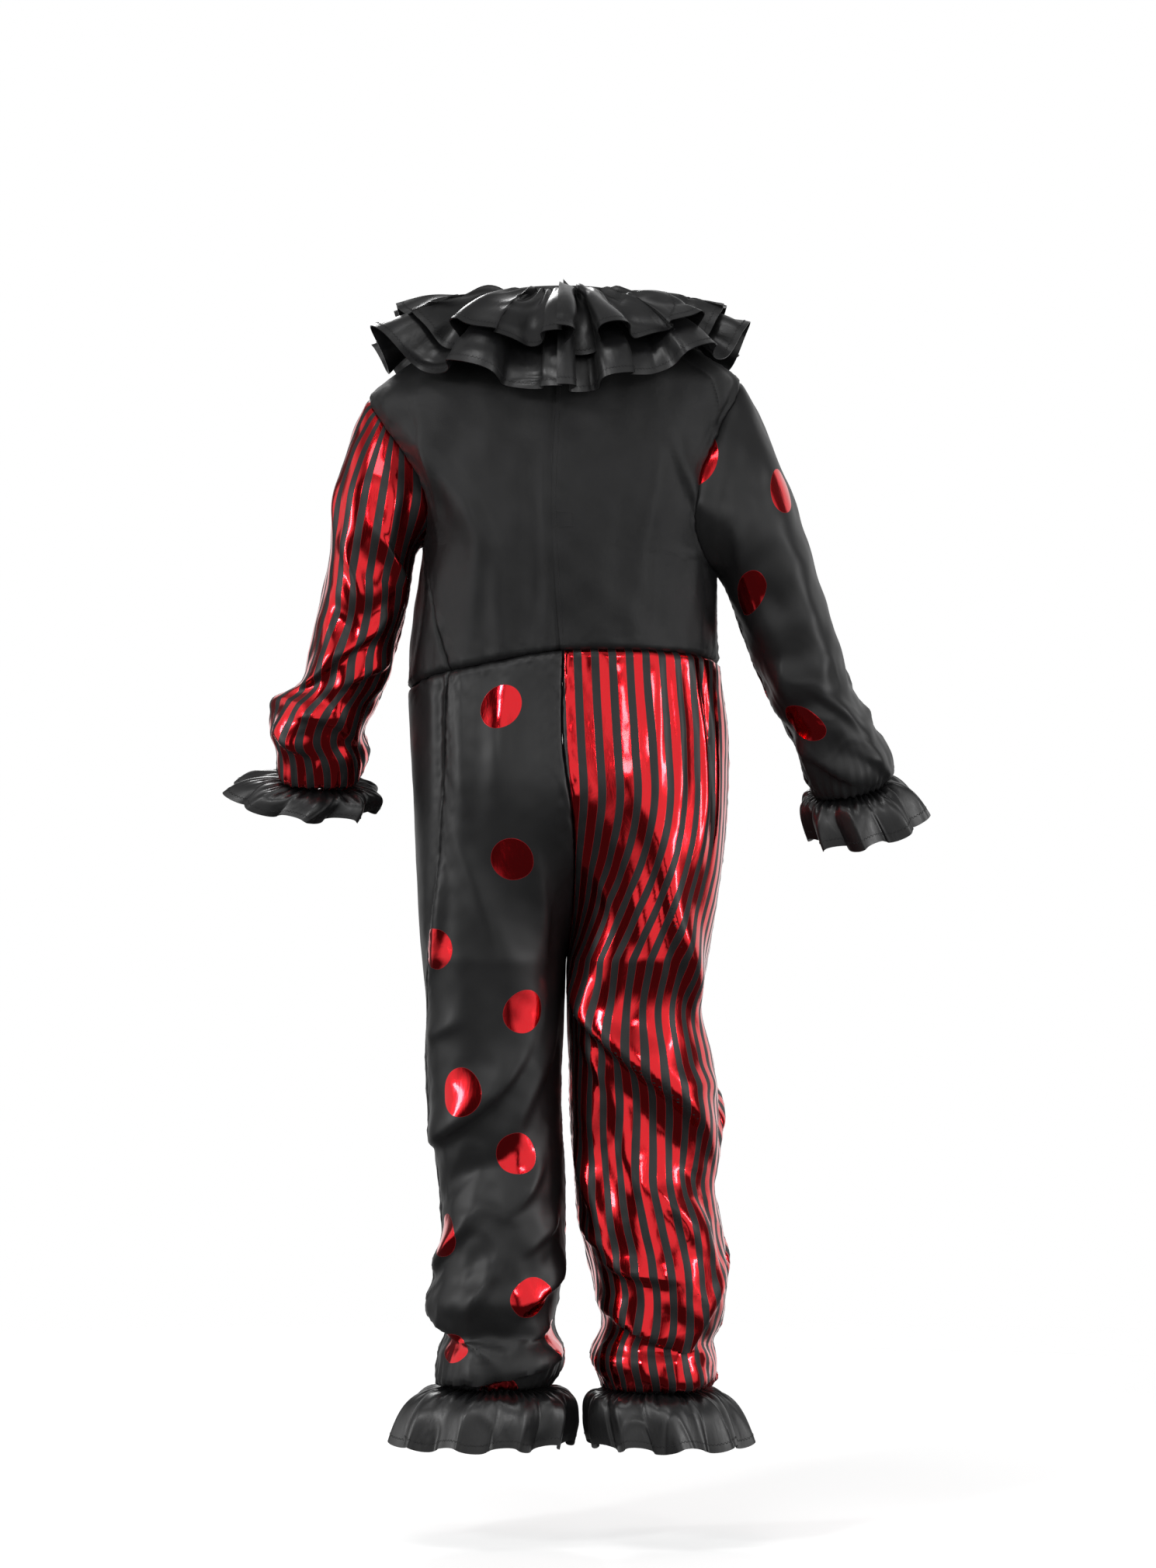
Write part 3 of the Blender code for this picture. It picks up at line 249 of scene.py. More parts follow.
TRUNK_FOLDS = (
    Fold(34, 0.105, 66, 0.245, 0.0070, 0.013, 0.3, 0.004),
    Fold(44, 0.088, 37, 0.180, 0.0031, 0.006, -0.4, 0.003),
    Fold(79, 0.120, 80, 0.300, -0.0050, 0.010, 0, 0.002),
    Fold(124, 0.110, 118, 0.270, 0.0050, 0.012, 0.2, -0.004),
    Fold(139, 0.050, 150, 0.112, 0.0028, 0.0045, 0.5, 0.001),
    Fold(163, 0.062, 147, 0.106, -0.0028, 0.005, 0, 0.002),
    Fold(127, 0.120, 165, 0.268, 0.0064, 0.009, -0.5, 0.004),
    Fold(150, 0.120, 158, 0.270, -0.0042, 0.009, 0, 0.003),
    Fold(57, 0.150, 55, 0.300, 0.0031, 0.010, 0.3, 0.002),
    Fold(104, 0.160, 103, 0.300, 0.0022, 0.012, 0, -0.002),
    Fold(66, 0.245, 69, 0.322, 0.0034, 0.007, 0.2, 0),
    Fold(112, 0.250, 116, 0.306, 0.0028, 0.008, 0, 0),
    Fold(-60, 0.110, -58, 0.260, 0.0070, 0.012, 0.3, 0.003),
    Fold(-92, 0.110, -86, 0.290, -0.0050, 0.013, 0, 0.004),
    Fold(-120, 0.110, -127, 0.270, 0.0070, 0.012, -0.3, 0.003),
    Fold(-32, 0.120, -52, 0.210, 0.0059, 0.008, 0.5, 0.003),
    Fold(-148, 0.120, -136, 0.220, 0.0059, 0.008, -0.5, 0.003),
    Fold(-75, 0.250, -78, 0.330, 0.0036, 0.008, 0, 0),
    Fold(-108, 0.250, -110, 0.330, 0.0036, 0.008, 0, 0),
)


Wave = namedtuple("Wave", "height size seed stretch")
TRUNK_WAVES = (Wave(0.0007, 0.055, 3, (1, 1, 2.4)), Wave(0.0003, 0.022, 4, (1, 1, 2)))
YOKE_DROP, YOKE_SPAN = 0.02, 0.05  # the cloth lies smooth above this drop


def trunk_reach(drop):
    left, right, back, front = np.moveaxis(through(TRUNK, drop), -1, 0)
    return (left + right + back + front) / 4


def trunk_cloth(turn, drop):
    """The trunk as it is worn."""
    moved = folded(trunk_form, TRUNK_FOLDS, turn, drop, trunk_reach(drop))
    outward = directions(trunk_form, turn, drop)[0]
    fine = sum(wave.height * ripples(moved, wave.size, wave.seed, wave.stretch) for wave in TRUNK_WAVES)
    return moved + outward * (fine * ease((drop - YOKE_DROP) / YOKE_SPAN))[..., None]


print(len(TRUNK_FOLDS), "folds on the bodice")

# %% [markdown]
# ## Where the bodice is cut
# The bodice has a front and two backs. The backs lap down the middle, where the suit is put on. Each panel
# is cut along the neckline, the shoulder, the armhole, the side seam and the waist. All these lines are kept
# as turns and drops on the trunk, so that a panel always lies on the form.

# %% Seam lines of the bodice

Curve = namedtuple("Curve", "turn drop")
NECKLINE = (
    Curve(-225, -0.011),
    Curve(-180, NECK_SIDE_DROP),
    Curve(-135, 0.005),
    Curve(-90, 0.024),
    Curve(-45, 0.005),
    Curve(0, NECK_SIDE_DROP),
    Curve(45, -0.011),
    Curve(90, -0.012),
    Curve(135, -0.011),
    Curve(180, NECK_SIDE_DROP),
    Curve(225, 0.005),
)
BACK_WAIST = (Curve(0, 0.330), Curve(46, 0.325), Curve(90, 0.308), Curve(135, 0.309), Curve(184, 0.319))
FRONT_WAIST = (Curve(-176, 0.319), Curve(-90, 0.333), Curve(0, 0.341), Curve(46, 0.325))

Line = namedtuple("Line", "drop reach")
BACK_LAP = (
    Line(-0.014, 0.002),
    Line(0.077, 0.005),
    Line(0.185, 0.009),
    Line(0.250, 0.006),
    Line(0.310, 0.001),
)
BACK_SEAM = (
    Line(0.300, -0.001),
    Line(0.394, -0.001),
    Line(0.455, -0.009),
    Line(0.515, -0.011),
    Line(0.565, -0.007),
    Line(0.592, -0.003),
)
UNDERLAP = 0.016
LAP_STEP = 0.008

Seam = namedtuple("Seam", "drop turn")
LEFT_SIDE_SEAM = (Seam(0.208, 8), Seam(0.224, 18), Seam(0.250, 28), Seam(0.290, 38), Seam(0.325, 46))
RIGHT_SIDE_SEAM = (Seam(0.195, 183), Seam(0.240, 183), Seam(0.345, 184))

Armhole = namedtuple("Armhole", "side top bottom back_turn front_turn sag seam_turn")
ARMHOLES = {
    "left": Armhole(1, 0.075, 0.212, 28, 34, 0.30, 8),
    "right": Armhole(-1, 0.060, 0.239, 36, 38, 0.30, -3),
}


def neckline(turn):
    return along(NECKLINE, (turn + 180) % 360 - 180)


def back_waist(turn):
    return along(BACK_WAIST, turn)


def front_waist(turn):
    return along(FRONT_WAIST, turn)


def front_waist_right(turn):
    return front_waist(turn - 360)


def armhole_turn_drop(name, angle):
    """Where an armhole runs on the trunk. Angle 0 is its top, 90 the back, 180 its foot, 270 the front."""
    hole = ARMHOLES[name]
    drop = (hole.top + hole.bottom) / 2 - (hole.bottom - hole.top) / 2 * cosd(angle)
    half_turn = np.where(sind(angle) > 0, hole.back_turn, hole.front_turn)
    turn = half_turn * sind(angle) * (1 - hole.sag * cosd(angle))
    return (turn if hole.side == 1 else 180 - turn), drop


def seam_angle(name):
    """The angle on the armhole where the side seam runs into it."""
    angles = np.linspace(120, 230, 2201)
    turns = armhole_turn_drop(name, angles)[0]
    target = ARMHOLES[name].seam_turn if name == "left" else 180 - ARMHOLES[name].seam_turn
    return angles[np.argmin(np.abs(turns - target))]


def lap_edge(shift, drops):
    return np.stack([turn_at(along(BACK_LAP, drops) + shift, drops), drops], axis=-1)


def panel_edge(name, waist_line, far_angle, rows):
    """An upright edge of a panel, as turns and drops: side seam, armhole and shoulder."""
    side_rows, hole_rows, shoulder_rows = rows
    seam = LEFT_SIDE_SEAM if name == "left" else RIGHT_SIDE_SEAM
    angles = np.linspace(seam_angle(name), far_angle, hole_rows + 1)
    hole = np.stack(armhole_turn_drop(name, angles), axis=-1)
    drops = np.linspace(waist_line(along(seam, 0.33)), hole[0, 1], side_rows + 1)
    side = np.stack([along(seam, drops), drops], axis=-1)
    side[:, 0] += (hole[0, 0] - side[-1, 0]) * np.linspace(0, 1, side_rows + 1)
    turn = 0.0 if name == "left" else 180.0
    drops = np.linspace(ARMHOLES[name].top, neckline(turn), shoulder_rows + 1)
    shoulder = np.stack([np.full(shoulder_rows + 1, turn), drops], axis=-1)
    return np.concatenate([side, hole[1:], shoulder[1:]])


for name in ARMHOLES:
    print(name, "side seam meets the armhole at", round(float(seam_angle(name))), "degrees")

# %% [markdown]
# ## Filling a panel with points
# A panel has four edges, and its inside has to follow all of them. A grid fill would do it in the viewport.
# In code a Coons patch does the same: it adds the two blends of opposite edges and takes the corners away
# once. The columns lie closer together at the seams, where the cloth turns in sharply.

# %% A patch between four edges


def crowded(count, crowding=0.45):
    """Places from 0 to 1 that lie closer together at both ends."""
    t = np.linspace(0, 1, count + 1)
    return t - crowding * np.sin(2 * np.pi * t) / (2 * np.pi)


def patch(first, last, foot, top, columns):
    across = crowded(columns)
    progress = (first[0, 1] - first[:, 1]) / (first[0, 1] - first[-1, 1])
    progress = progress + (last[0, 1] - last[:, 1]) / (last[0, 1] - last[-1, 1])
    up = (progress / 2)[:, None, None]
    u = across[None, :, None]
    foot_turn = first[0, 0] + (last[0, 0] - first[0, 0]) * across
    top_turn = first[-1, 0] + (last[-1, 0] - first[-1, 0]) * across
    foot_edge = np.stack([foot_turn, foot(foot_turn)], axis=-1)[None]
    top_edge = np.stack([top_turn, top(top_turn)], axis=-1)[None]
    sides = (1 - u) * first[:, None] + u * last[:, None]
    ends = (1 - up) * foot_edge + up * top_edge
    corners = (1 - up) * ((1 - u) * first[0] + u * last[0]) + up * ((1 - u) * first[-1] + u * last[-1])
    return sides + ends - corners


print("first and middle step of 40:", np.round(np.diff(crowded(40))[[0, 20]], 4))

# %% [markdown]
# ## Seams
# Where two panels are sewn, the cloth turns in and leaves a narrow groove, and the thread puckers it beside
# the groove. A bevel would give only the groove. So a panel's points are moved in by how far they are from
# the edge, measured along the cloth, and a little ripple is added beside it.

# %% Grooves along the sewn edges

SEAM_DEPTH, SEAM_WIDTH = 0.0014, 0.0022
TUCK = 0.0022  # how much deeper the very edge lies, so that nothing shows through a seam
PUCKER, PUCKER_REACH, PUCKER_SIZE = 0.00045, 0.010, 0.009


def lengths_along(grid, axis):
    """Distance of each point of a grid from its first row (axis 0) or column (axis 1), along the cloth."""
    steps = np.linalg.norm(np.diff(grid, axis=axis), axis=-1)
    start = np.zeros_like(np.take(steps, [0], axis=axis))
    return np.concatenate([start, np.cumsum(steps, axis=axis)], axis=axis)


def line_lengths(line):
    """Distance of each point of a line from its first one, along the line."""
    return lengths_along(line[:, None], 0)[:, 0]


def sewn(outer, outward, edges, seed):
    """The outer skin with a groove and puckers along the named edges."""
    down, over = lengths_along(outer, 0), lengths_along(outer, 1)
    distances = {
        "first_row": down,
        "last_row": down[-1:] - down,
        "first_column": over,
        "last_column": over[:, -1:] - over,
    }
    pucker = ripples(outer, PUCKER_SIZE, seed)
    moved = outer
    for edge in edges:
        far = distances[edge]
        sink = -SEAM_DEPTH * np.exp(-((far / SEAM_WIDTH) ** 2)) - TUCK * (far < 1e-6)
        sink = sink + PUCKER * pucker * np.exp(-far / PUCKER_REACH)
        moved = moved + outward * sink[..., None]
    return moved


print("groove:", SEAM_DEPTH * 1000, "mm deep")

# %% [markdown]
# ## A thin shell
# Cloth has two sides and a thickness. Solidify would make both from one sheet, but it would give both the
# same print. Here the outer and the inner skin are built together: the outer one takes the printed finish,
# the inner one and the rims take the plain wrong side of the cloth. The grid also gives the UVs, in metres
# across and along the cut cloth, which is all that the stripes, the dots and the weave need.

# %% Building a shell

CLOTH = 0.0006  # thickness of the suit's cloth
SATIN = 0.0005


def smoothed(values, rows):
    """Each column of a grid averaged over its neighbours up and down."""
    reach = 3 * rows
    kernel = np.exp(-((np.arange(-reach, reach + 1) / rows) ** 2))
    kernel = kernel / kernel.sum()
    padded = np.pad(values, ((reach, reach), (0, 0)), mode="edge")
    return np.stack([np.convolve(column, kernel, mode="valid") for column in padded.T], axis=1)


def cut_places(outer, grain, settle=10):
    """Where each point lies on the cut cloth, in metres from the grain line's top."""
    over = lengths_along(outer, 1)
    over = smoothed(over - over[:, grain : grain + 1], settle)
    down = lengths_along(outer, 0)[:, grain : grain + 1]
    return np.stack(np.broadcast_arrays(over, down), axis=-1)


def shell(name, outer, inward, thickness, places, closed, outside, inside):
    """One piece of cloth. Its grids are rows by columns. places has one more column if it is a tube."""
    inner = outer + inward * np.broadcast_to(thickness, outer.shape[:2])[..., None]
    facing = np.cross(np.diff(outer, axis=1)[:-1], np.diff(outer, axis=0)[:, :-1])
    if np.sum(facing * inward[:-1, :-1]) > 0:
        outer, inner, places = outer[:, ::-1], inner[:, ::-1], places[:, ::-1]
        if closed:
            outer, inner = np.roll(outer, 1, axis=1), np.roll(inner, 1, axis=1)
    rows, columns = outer.shape[:2]
    spans = columns if closed else columns - 1
    row, column = (grid.ravel() for grid in np.meshgrid(np.arange(rows - 1), np.arange(spans), indexing="ij"))
    beside = (column + 1) % columns
    corners = np.stack([row * columns + column, row * columns + beside,
                        (row + 1) * columns + beside, (row + 1) * columns + column], axis=1)
    uv = places.reshape(rows, -1, 2)
    upper = (uv[row, column], uv[row, column + 1])
    lower = (uv[row + 1, column + 1], uv[row + 1, column])
    corner_uv = np.stack([*upper, *lower], axis=1)
    layer = rows * columns

    def rim(a, b, uv_a, uv_b):
        """Faces that join the two skins from points a to points b."""
        return np.stack([b, a, a + layer, b + layer], axis=1), np.stack([uv_b, uv_a, uv_a, uv_b], axis=1)

    step, place = np.arange(spans), np.arange(rows - 1)
    last = (rows - 1) * columns
    rims = [rim(step, (step + 1) % columns, uv[0, step], uv[0, step + 1]),
            rim(last + (step + 1) % columns, last + step, uv[-1, step + 1], uv[-1, step])]
    if not closed:
        left, right = place * columns, place * columns + columns - 1
        rims += [rim(left + columns, left, uv[place + 1, 0], uv[place, 0]),
                 rim(right, right + columns, uv[place, -1], uv[place + 1, -1])]
    faces = np.concatenate([corners, corners[:, ::-1] + layer, *[rim_faces for rim_faces, _ in rims]])
    face_uv = np.concatenate([corner_uv, corner_uv[:, ::-1], *[rim_uv for _, rim_uv in rims]])
    mesh = bpy.data.meshes.new(name)
    both_skins = np.concatenate([outer.reshape(-1, 3), inner.reshape(-1, 3)])
    mesh.from_pydata(both_skins.tolist(), [], faces.tolist())
    mesh.uv_layers.new(name="cut").data.foreach_set("uv", face_uv.ravel())
    mesh.materials.append(outside)
    mesh.materials.append(inside)
    mesh.polygons.foreach_set("material_index", (np.arange(len(faces)) >= len(corners)).astype(np.int32))
    mesh.shade_smooth()
    mesh.set_sharp_from_angle(angle=np.radians(60))
    made = bpy.data.objects.new(name, mesh)
    bpy.context.scene.collection.objects.link(made)
    return made


def area_of(outer, closed):
    """Area of a grid of points, in square metres."""
    if closed:
        outer = np.concatenate([outer, outer[:, :1]], axis=1)
    one, two = outer[1:, 1:] - outer[:-1, :-1], outer[1:, :-1] - outer[:-1, 1:]
    return float(np.linalg.norm(np.cross(one, two), axis=-1).sum() / 2)


print("cloth", CLOTH * 1000, "mm, satin", SATIN * 1000, "mm")

# %% [markdown]
# ## Nodes in few words
# Materials are built from shader nodes. Linking them by hand in the editor is clear for one finish, and long
# for five that share a weave, so a small helper adds a node, sets its values and links what it is given.

# %% Helpers for shader nodes


class Nodes:
    """A node tree and short ways to add to it."""

    def __init__(self, tree):
        self.tree = tree

    def add(self, kind, inputs=(), **settings):
        """A new node. inputs are (socket, value or output) pairs."""
        node = self.tree.nodes.new(kind)
        for key, value in settings.items():
            setattr(node, key, value)
        for socket, value in inputs:
            self.set(node, socket, value)
        return node

    def set(self, node, socket, value):
        if isinstance(value, bpy.types.NodeSocket):
            self.tree.links.new(value, node.inputs[socket])
        else:
            node.inputs[socket].default_value = value

    def math(self, operation, a, b=0.0, clamp=False):
        return self.add("ShaderNodeMath", ((0, a), (1, b)), operation=operation, use_clamp=clamp).outputs[0]

    def band(self, value, low, high, to_low=0.0, to_high=1.0):
        """The value's way from low to high, as a number from to_low to to_high."""
        given = (("Value", value), ("From Min", low), ("From Max", high))
        inputs = (*given, ("To Min", to_low), ("To Max", to_high))
        return self.add("ShaderNodeMapRange", inputs).outputs["Result"]

    def blend(self, share, a, b):
        """Colour a where the share is 0 and b where it is 1."""
        node = self.add("ShaderNodeMix", data_type="RGBA")
        self.set(node, 0, share)
        self.set(node, 6, a)
        self.set(node, 7, b)
        return node.outputs[2]

    def noise(self, vector, scale, detail=2.0, distortion=0.0):
        inputs = (("Vector", vector), ("Scale", scale), ("Detail", detail), ("Distortion", distortion))
        return self.add("ShaderNodeTexNoise", inputs).outputs["Fac"]

    def cut(self):
        """The place on the cut cloth, in metres, as a vector and as its two numbers."""
        uv = self.add("ShaderNodeUVMap", uv_map="cut").outputs[0]
        split = self.add("ShaderNodeSeparateXYZ", ((0, uv),))
        return uv, split.outputs[0], split.outputs[1]

    def stretched(self, vector, across, down):
        """The vector with its two ways scaled."""
        inputs = ((0, vector), (1, (across, down, 1.0)))
        return self.add("ShaderNodeVectorMath", inputs, operation="MULTIPLY").outputs[0]

    def bump(self, height, distance, strength=1.0, over=None):
        inputs = [("Height", height), ("Distance", distance), ("Strength", strength)]
        if over is not None:
            inputs.append(("Normal", over))
        return self.add("ShaderNodeBump", inputs).outputs[0]


class Shader(Nodes):
    """A new material with the helpers above."""

    def __init__(self, name):
        self.material = bpy.data.materials.new(name)
        self.material.use_nodes = True
        super().__init__(self.material.node_tree)
        self.surface = self.tree.nodes["Principled BSDF"]

    def finish(self, **values):
        """Sets the surface's sockets, named with _ for a space."""
        for socket, value in values.items():
            self.set(self.surface, socket.replace("_", " "), value)
        return self.material


print("node helpers ready")

# %% [markdown]
# ## The black cloth
# The bodice and the ground of the printed panels are a thin, matte, closely woven polyester. It is not pure
# black: under studio light it is a dark grey, a little lighter where it turns away. A flat dark colour would
# look like paint, so the weave is two crossed waves of thread as bump, a slow noise shifts the grey, and a
# weak sheen lightens the edges.

# %% Black cloth, right side and wrong side

BLACK = (0.0058, 0.0058, 0.0062, 1)
BLACK_FADED = (0.0102, 0.0102, 0.0107, 1)
RIGHT_SIDE_ROUGHNESS, WRONG_SIDE_ROUGHNESS = 0.46, 0.85
THREAD_PITCH = 0.00045


def woven(shader, u, v):
    """Height of a plain weave, from -1 to 1."""
    over = shader.math("SINE", shader.math("MULTIPLY", u, 2 * np.pi / THREAD_PITCH))
    under = shader.math("SINE", shader.math("MULTIPLY", v, 2 * np.pi / THREAD_PITCH))
    return shader.math("MULTIPLY", over, under)


def black_ground(shader, uv):
    """The grey of the black cloth, a little uneven."""
    patches = shader.noise(uv, 38.0, 3.0)
    specks = shader.noise(uv, 1400.0, 1.0)
    patchy, speckled = shader.band(patches, 0.3, 0.7, 0.0, 0.6), shader.band(specks, 0.3, 0.7, 0.0, 0.4)
    share = shader.math("ADD", patchy, speckled)
    return shader.blend(share, BLACK, BLACK_FADED)


def black_cloth(name, roughness):
    shader = Shader(name)
    uv, u, v = shader.cut()
    wrinkle = shader.bump(shader.noise(uv, 95.0, 3.0), 0.0006, 0.35)
    weave = shader.bump(woven(shader, u, v), 0.00005, 0.5, wrinkle)
    return shader.finish(Base_Color=black_ground(shader, uv), Roughness=roughness, Normal=weave,
                         Specular_IOR_Level=0.32, Sheen_Weight=0.02, Sheen_Roughness=0.4)


bodice_cloth = black_cloth("bodice_weave", RIGHT_SIDE_ROUGHNESS)
wrong_side = black_cloth("wrong_side_weave", WRONG_SIDE_ROUGHNESS)
print("made", bodice_cloth.name, "and", wrong_side.name)

# %% [markdown]
# ## The red foil print
# The stripes and dots are a red metallic film pressed on the black cloth. The film mirrors the room: it is
# bright red where it faces a lamp, nearly white in the lamp's own reflection and nearly black where the room
# is dark. It is also creased like sweet paper. So the print is metal with a low roughness and a thin clear
# coat for the white glints, and its bump is a streaky crumple that the black cloth does not have. Stripes
# could be an image, but a step on the distance across the cut stays sharp at any size.

# %% Stripes and dots of red foil

STRIPE_PITCH = 0.0158
STRIPE_SHARE = 0.53
EDGE = 0.0002  # the width over which the film's edge fades, to keep it smooth
FOIL = (0.80, 0.012, 0.020, 1)
DOT = 0.039  # diameter


def foil_cloth(shader, mask, uv):
    """Finishes a shader whose mask is 1 on the film and 0 on the cloth."""
    crumple = shader.noise(shader.stretched(uv, 1.0, 0.45), 75.0, 3.0, 0.9)
    fine = shader.noise(shader.stretched(uv, 1.0, 0.6), 420.0, 2.0, 0.4)
    ridges = shader.math("ABSOLUTE", shader.math("SUBTRACT", crumple, 0.5))
    height = shader.math("ADD", shader.math("MULTIPLY", ridges, 1.3), shader.math("MULTIPLY", fine, 0.10))
    film = shader.bump(shader.math("MULTIPLY", height, mask), 0.0006, 0.32)
    scuffs = shader.noise(shader.stretched(uv, 1.0, 0.12), 900.0, 2.0)
    foil_roughness = shader.band(scuffs, 0.45, 0.75, 0.12, 0.20)
    inputs = ((0, mask), (2, RIGHT_SIDE_ROUGHNESS), (3, foil_roughness))
    roughness = shader.add("ShaderNodeMix", inputs).outputs[0]
    return shader.finish(Base_Color=shader.blend(mask, black_ground(shader, uv), FOIL), Metallic=mask,
                         Roughness=roughness, Normal=film, Specular_IOR_Level=0.42,
                         Coat_Weight=shader.math("MULTIPLY", mask, 0.45), Coat_Roughness=0.06)


def striped_cloth(name, start):
    """start is how far the first black stripe's middle lies from the grain line."""
    shader = Shader(name)
    uv, u, _ = shader.cut()
    turns = shader.math("DIVIDE", shader.math("SUBTRACT", u, start), STRIPE_PITCH)
    from_middle = shader.math("ABSOLUTE", shader.math("SUBTRACT", shader.math("FRACT", turns), 0.5))
    half = STRIPE_SHARE / 2
    mask = shader.band(from_middle, half + EDGE / STRIPE_PITCH, half - EDGE / STRIPE_PITCH)
    return foil_cloth(shader, mask, uv)


def dotted_cloth(name, centres):
    """centres are the places of the dots on the cut cloth."""
    shader = Shader(name)
    uv = shader.cut()[0]
    nearest = None
    for centre in centres:
        inputs = ((0, uv), (1, (*centre, 0.0)))
        distance = shader.add("ShaderNodeVectorMath", inputs, operation="DISTANCE").outputs["Value"]
        nearest = distance if nearest is None else shader.math("MINIMUM", nearest, distance)
    mask = shader.band(nearest, DOT / 2 + EDGE, DOT / 2 - EDGE)
    return foil_cloth(shader, mask, uv)


print("stripes every", STRIPE_PITCH * 1000, "mm, dots", DOT * 1000, "mm across")

# %% [markdown]
# ## The black satin
# The frills are satin. Its long floats of thread all run one way, so light slides along them and makes the
# silky bands that plain black plastic lacks. Anisotropy gives those bands, and it takes its direction from
# the UVs, so it follows each frill round.

# %% Satin and thread

SATIN_DARK, SATIN_LIGHT = (0.0030, 0.0030, 0.0034, 1), (0.0065, 0.0065, 0.0070, 1)
THREAD_DARK, THREAD_LIGHT = (0.008, 0.008, 0.008, 1), (0.030, 0.030, 0.032, 1)


def satin(name):
    shader = Shader(name)
    uv = shader.cut()[0]
    slubs = shader.noise(shader.stretched(uv, 1.0, 0.10), 700.0, 2.0)
    crinkle = shader.noise(shader.stretched(uv, 1.0, 0.45), 80.0, 2.0, 0.4)
    crumpled = shader.bump(crinkle, 0.0016, 0.35)
    surface = shader.bump(slubs, 0.00012, 0.35, crumpled)
    tangent = shader.add("ShaderNodeTangent", direction_type="UV_MAP", uv_map="cut").outputs[0]
    colour = shader.blend(shader.noise(uv, 60.0, 2.0), SATIN_DARK, SATIN_LIGHT)
    roughness = shader.band(shader.noise(uv, 160.0, 2.0), 0.3, 0.7, 0.34, 0.43)
    return shader.finish(Base_Color=colour, Roughness=roughness, Normal=surface, Tangent=tangent,
                         Anisotropic=0.5, Specular_IOR_Level=0.62, Sheen_Weight=0.02)


def thread_finish(name):
    shader = Shader(name)
    where = shader.add("ShaderNodeTexCoord").outputs["Object"]
    colour = shader.blend(shader.noise(where, 2500.0, 1.0), THREAD_DARK, THREAD_LIGHT)
    return shader.finish(Base_Color=colour, Roughness=0.45)


black_satin = satin("frill_satin")
black_thread = thread_finish("sewing_thread")
print("made", black_satin.name, "and", black_thread.name)

# %% [markdown]
# ## Dressing a piece
# Each finished piece takes the place of the solid with its name, which is hidden, and it rides on the root
# body with its rows of stitches. Because it is cloth, the size it was cut to is printed. One helper does it
# all, so that no piece is forgotten.

# %% A helper that enters a piece


def enter(piece, flat, stitches=()):
    """Puts the piece in the place of the solid with its name."""
    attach(piece, "root")
    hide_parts(piece.name.removesuffix("_cloth"))
    for row in stitches:
        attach(row, "root")
    print(piece.name, len(piece.data.polygons), "faces, cut", flat)


# %% [markdown]
# ## Bodice
# The bodice is three panels. The right back lies over the left one, so the left back has a step and runs on
# under it. Cloth simulation could drape a lap, but on a worn suit it lies flat, and a step of the cloth's
# own thickness is all that shows.

# %% The two backs and the front

PANEL_ROWS = (30, 56, 18)  # rows along the side seam, the armhole and the shoulder
BACK_COLUMNS = 52
FRONT_COLUMNS = 104
LAP_DROP = 0.0016  # how far the under layer lies below the upper one
# Past the main panel the under layer goes on in five columns: where each lies from the lap's edge, and how
# far down.
LAP_MARGIN = 0.001
UNDER_SHIFTS = (0.006, 0.003, 0.001, -0.004, -UNDERLAP)
UNDER_SUNK = (0.3, 0.8, 1.0, 1.0, 1.0)
BACK_LEFT_CUT, BACK_RIGHT_CUT, FRONT_CUT = (0.195, 0.350), (0.200, 0.350), (0.420, 0.350)


def bodice_panel(name, grid, edges, sunk, seed):
    """A panel's piece and its outer skin. sunk is how far each column lies below the trunk's cloth."""
    outward = directions(trunk_form, grid[..., 0], grid[..., 1])[0]
    outer = trunk_cloth(grid[..., 0], grid[..., 1])
    outer = sewn(outer, outward, edges, seed) - outward * np.broadcast_to(sunk, grid.shape[:2])[..., None]
    places = cut_places(outer, grid.shape[1] // 2)
    return shell(name + "_cloth", outer, -outward, CLOTH, places, False, bodice_cloth, wrong_side), outer


back_drops = np.linspace(back_waist(90.0), neckline(90.0), sum(PANEL_ROWS) + 1)

side = panel_edge("left", back_waist, 0, PANEL_ROWS)
main = patch(side, lap_edge(LAP_STEP + LAP_MARGIN, back_drops), back_waist, neckline, BACK_COLUMNS)
under = [lap_edge(shift, back_drops)[:, None] for shift in UNDER_SHIFTS]
grid = np.concatenate([main, *under], axis=1)
step_down = np.zeros(grid.shape[1])
step_down[-len(UNDER_SUNK):] = LAP_DROP * np.array(UNDER_SUNK)
left_edges = ("first_row", "first_column", "last_row")
back_left, back_left_skin = bodice_panel("bodice_back_left", grid, left_edges, step_down, 11)
enter(back_left, BACK_LEFT_CUT)

side = panel_edge("right", back_waist, 0, PANEL_ROWS)
grid = patch(lap_edge(0.0, back_drops), side, back_waist, neckline, BACK_COLUMNS)
right_edges = ("first_row", "last_column", "last_row")
back_right, back_right_skin = bodice_panel("bodice_back_right", grid, right_edges, 0.0, 12)

left = panel_edge("left", front_waist, 360, PANEL_ROWS)
right = panel_edge("right", front_waist_right, 360, PANEL_ROWS)
right[:, 0] -= 360
grid = patch(left, right, front_waist, neckline, FRONT_COLUMNS)
front_edges = ("first_row", "first_column", "last_column", "last_row")
bodice_front, front_skin = bodice_panel("bodice_front", grid, front_edges, 0.0, 13)
enter(bodice_front, FRONT_CUT)
print("areas:", [round(area_of(skin, False), 4) for skin in (back_left_skin, back_right_skin, front_skin)])

# %% [markdown]
# ## Stitches
# A hem or a tape is held by stitches that stand up a little from the cloth. They could be bump, but a row
# that crosses a fold catches the light as real thread does. So each stitch is a small tube of four sides
# along a line of points on the cloth, and all the stitches of a seam are one mesh.

# %% Rows of stitches

THREAD = 0.00032  # thread's thickness


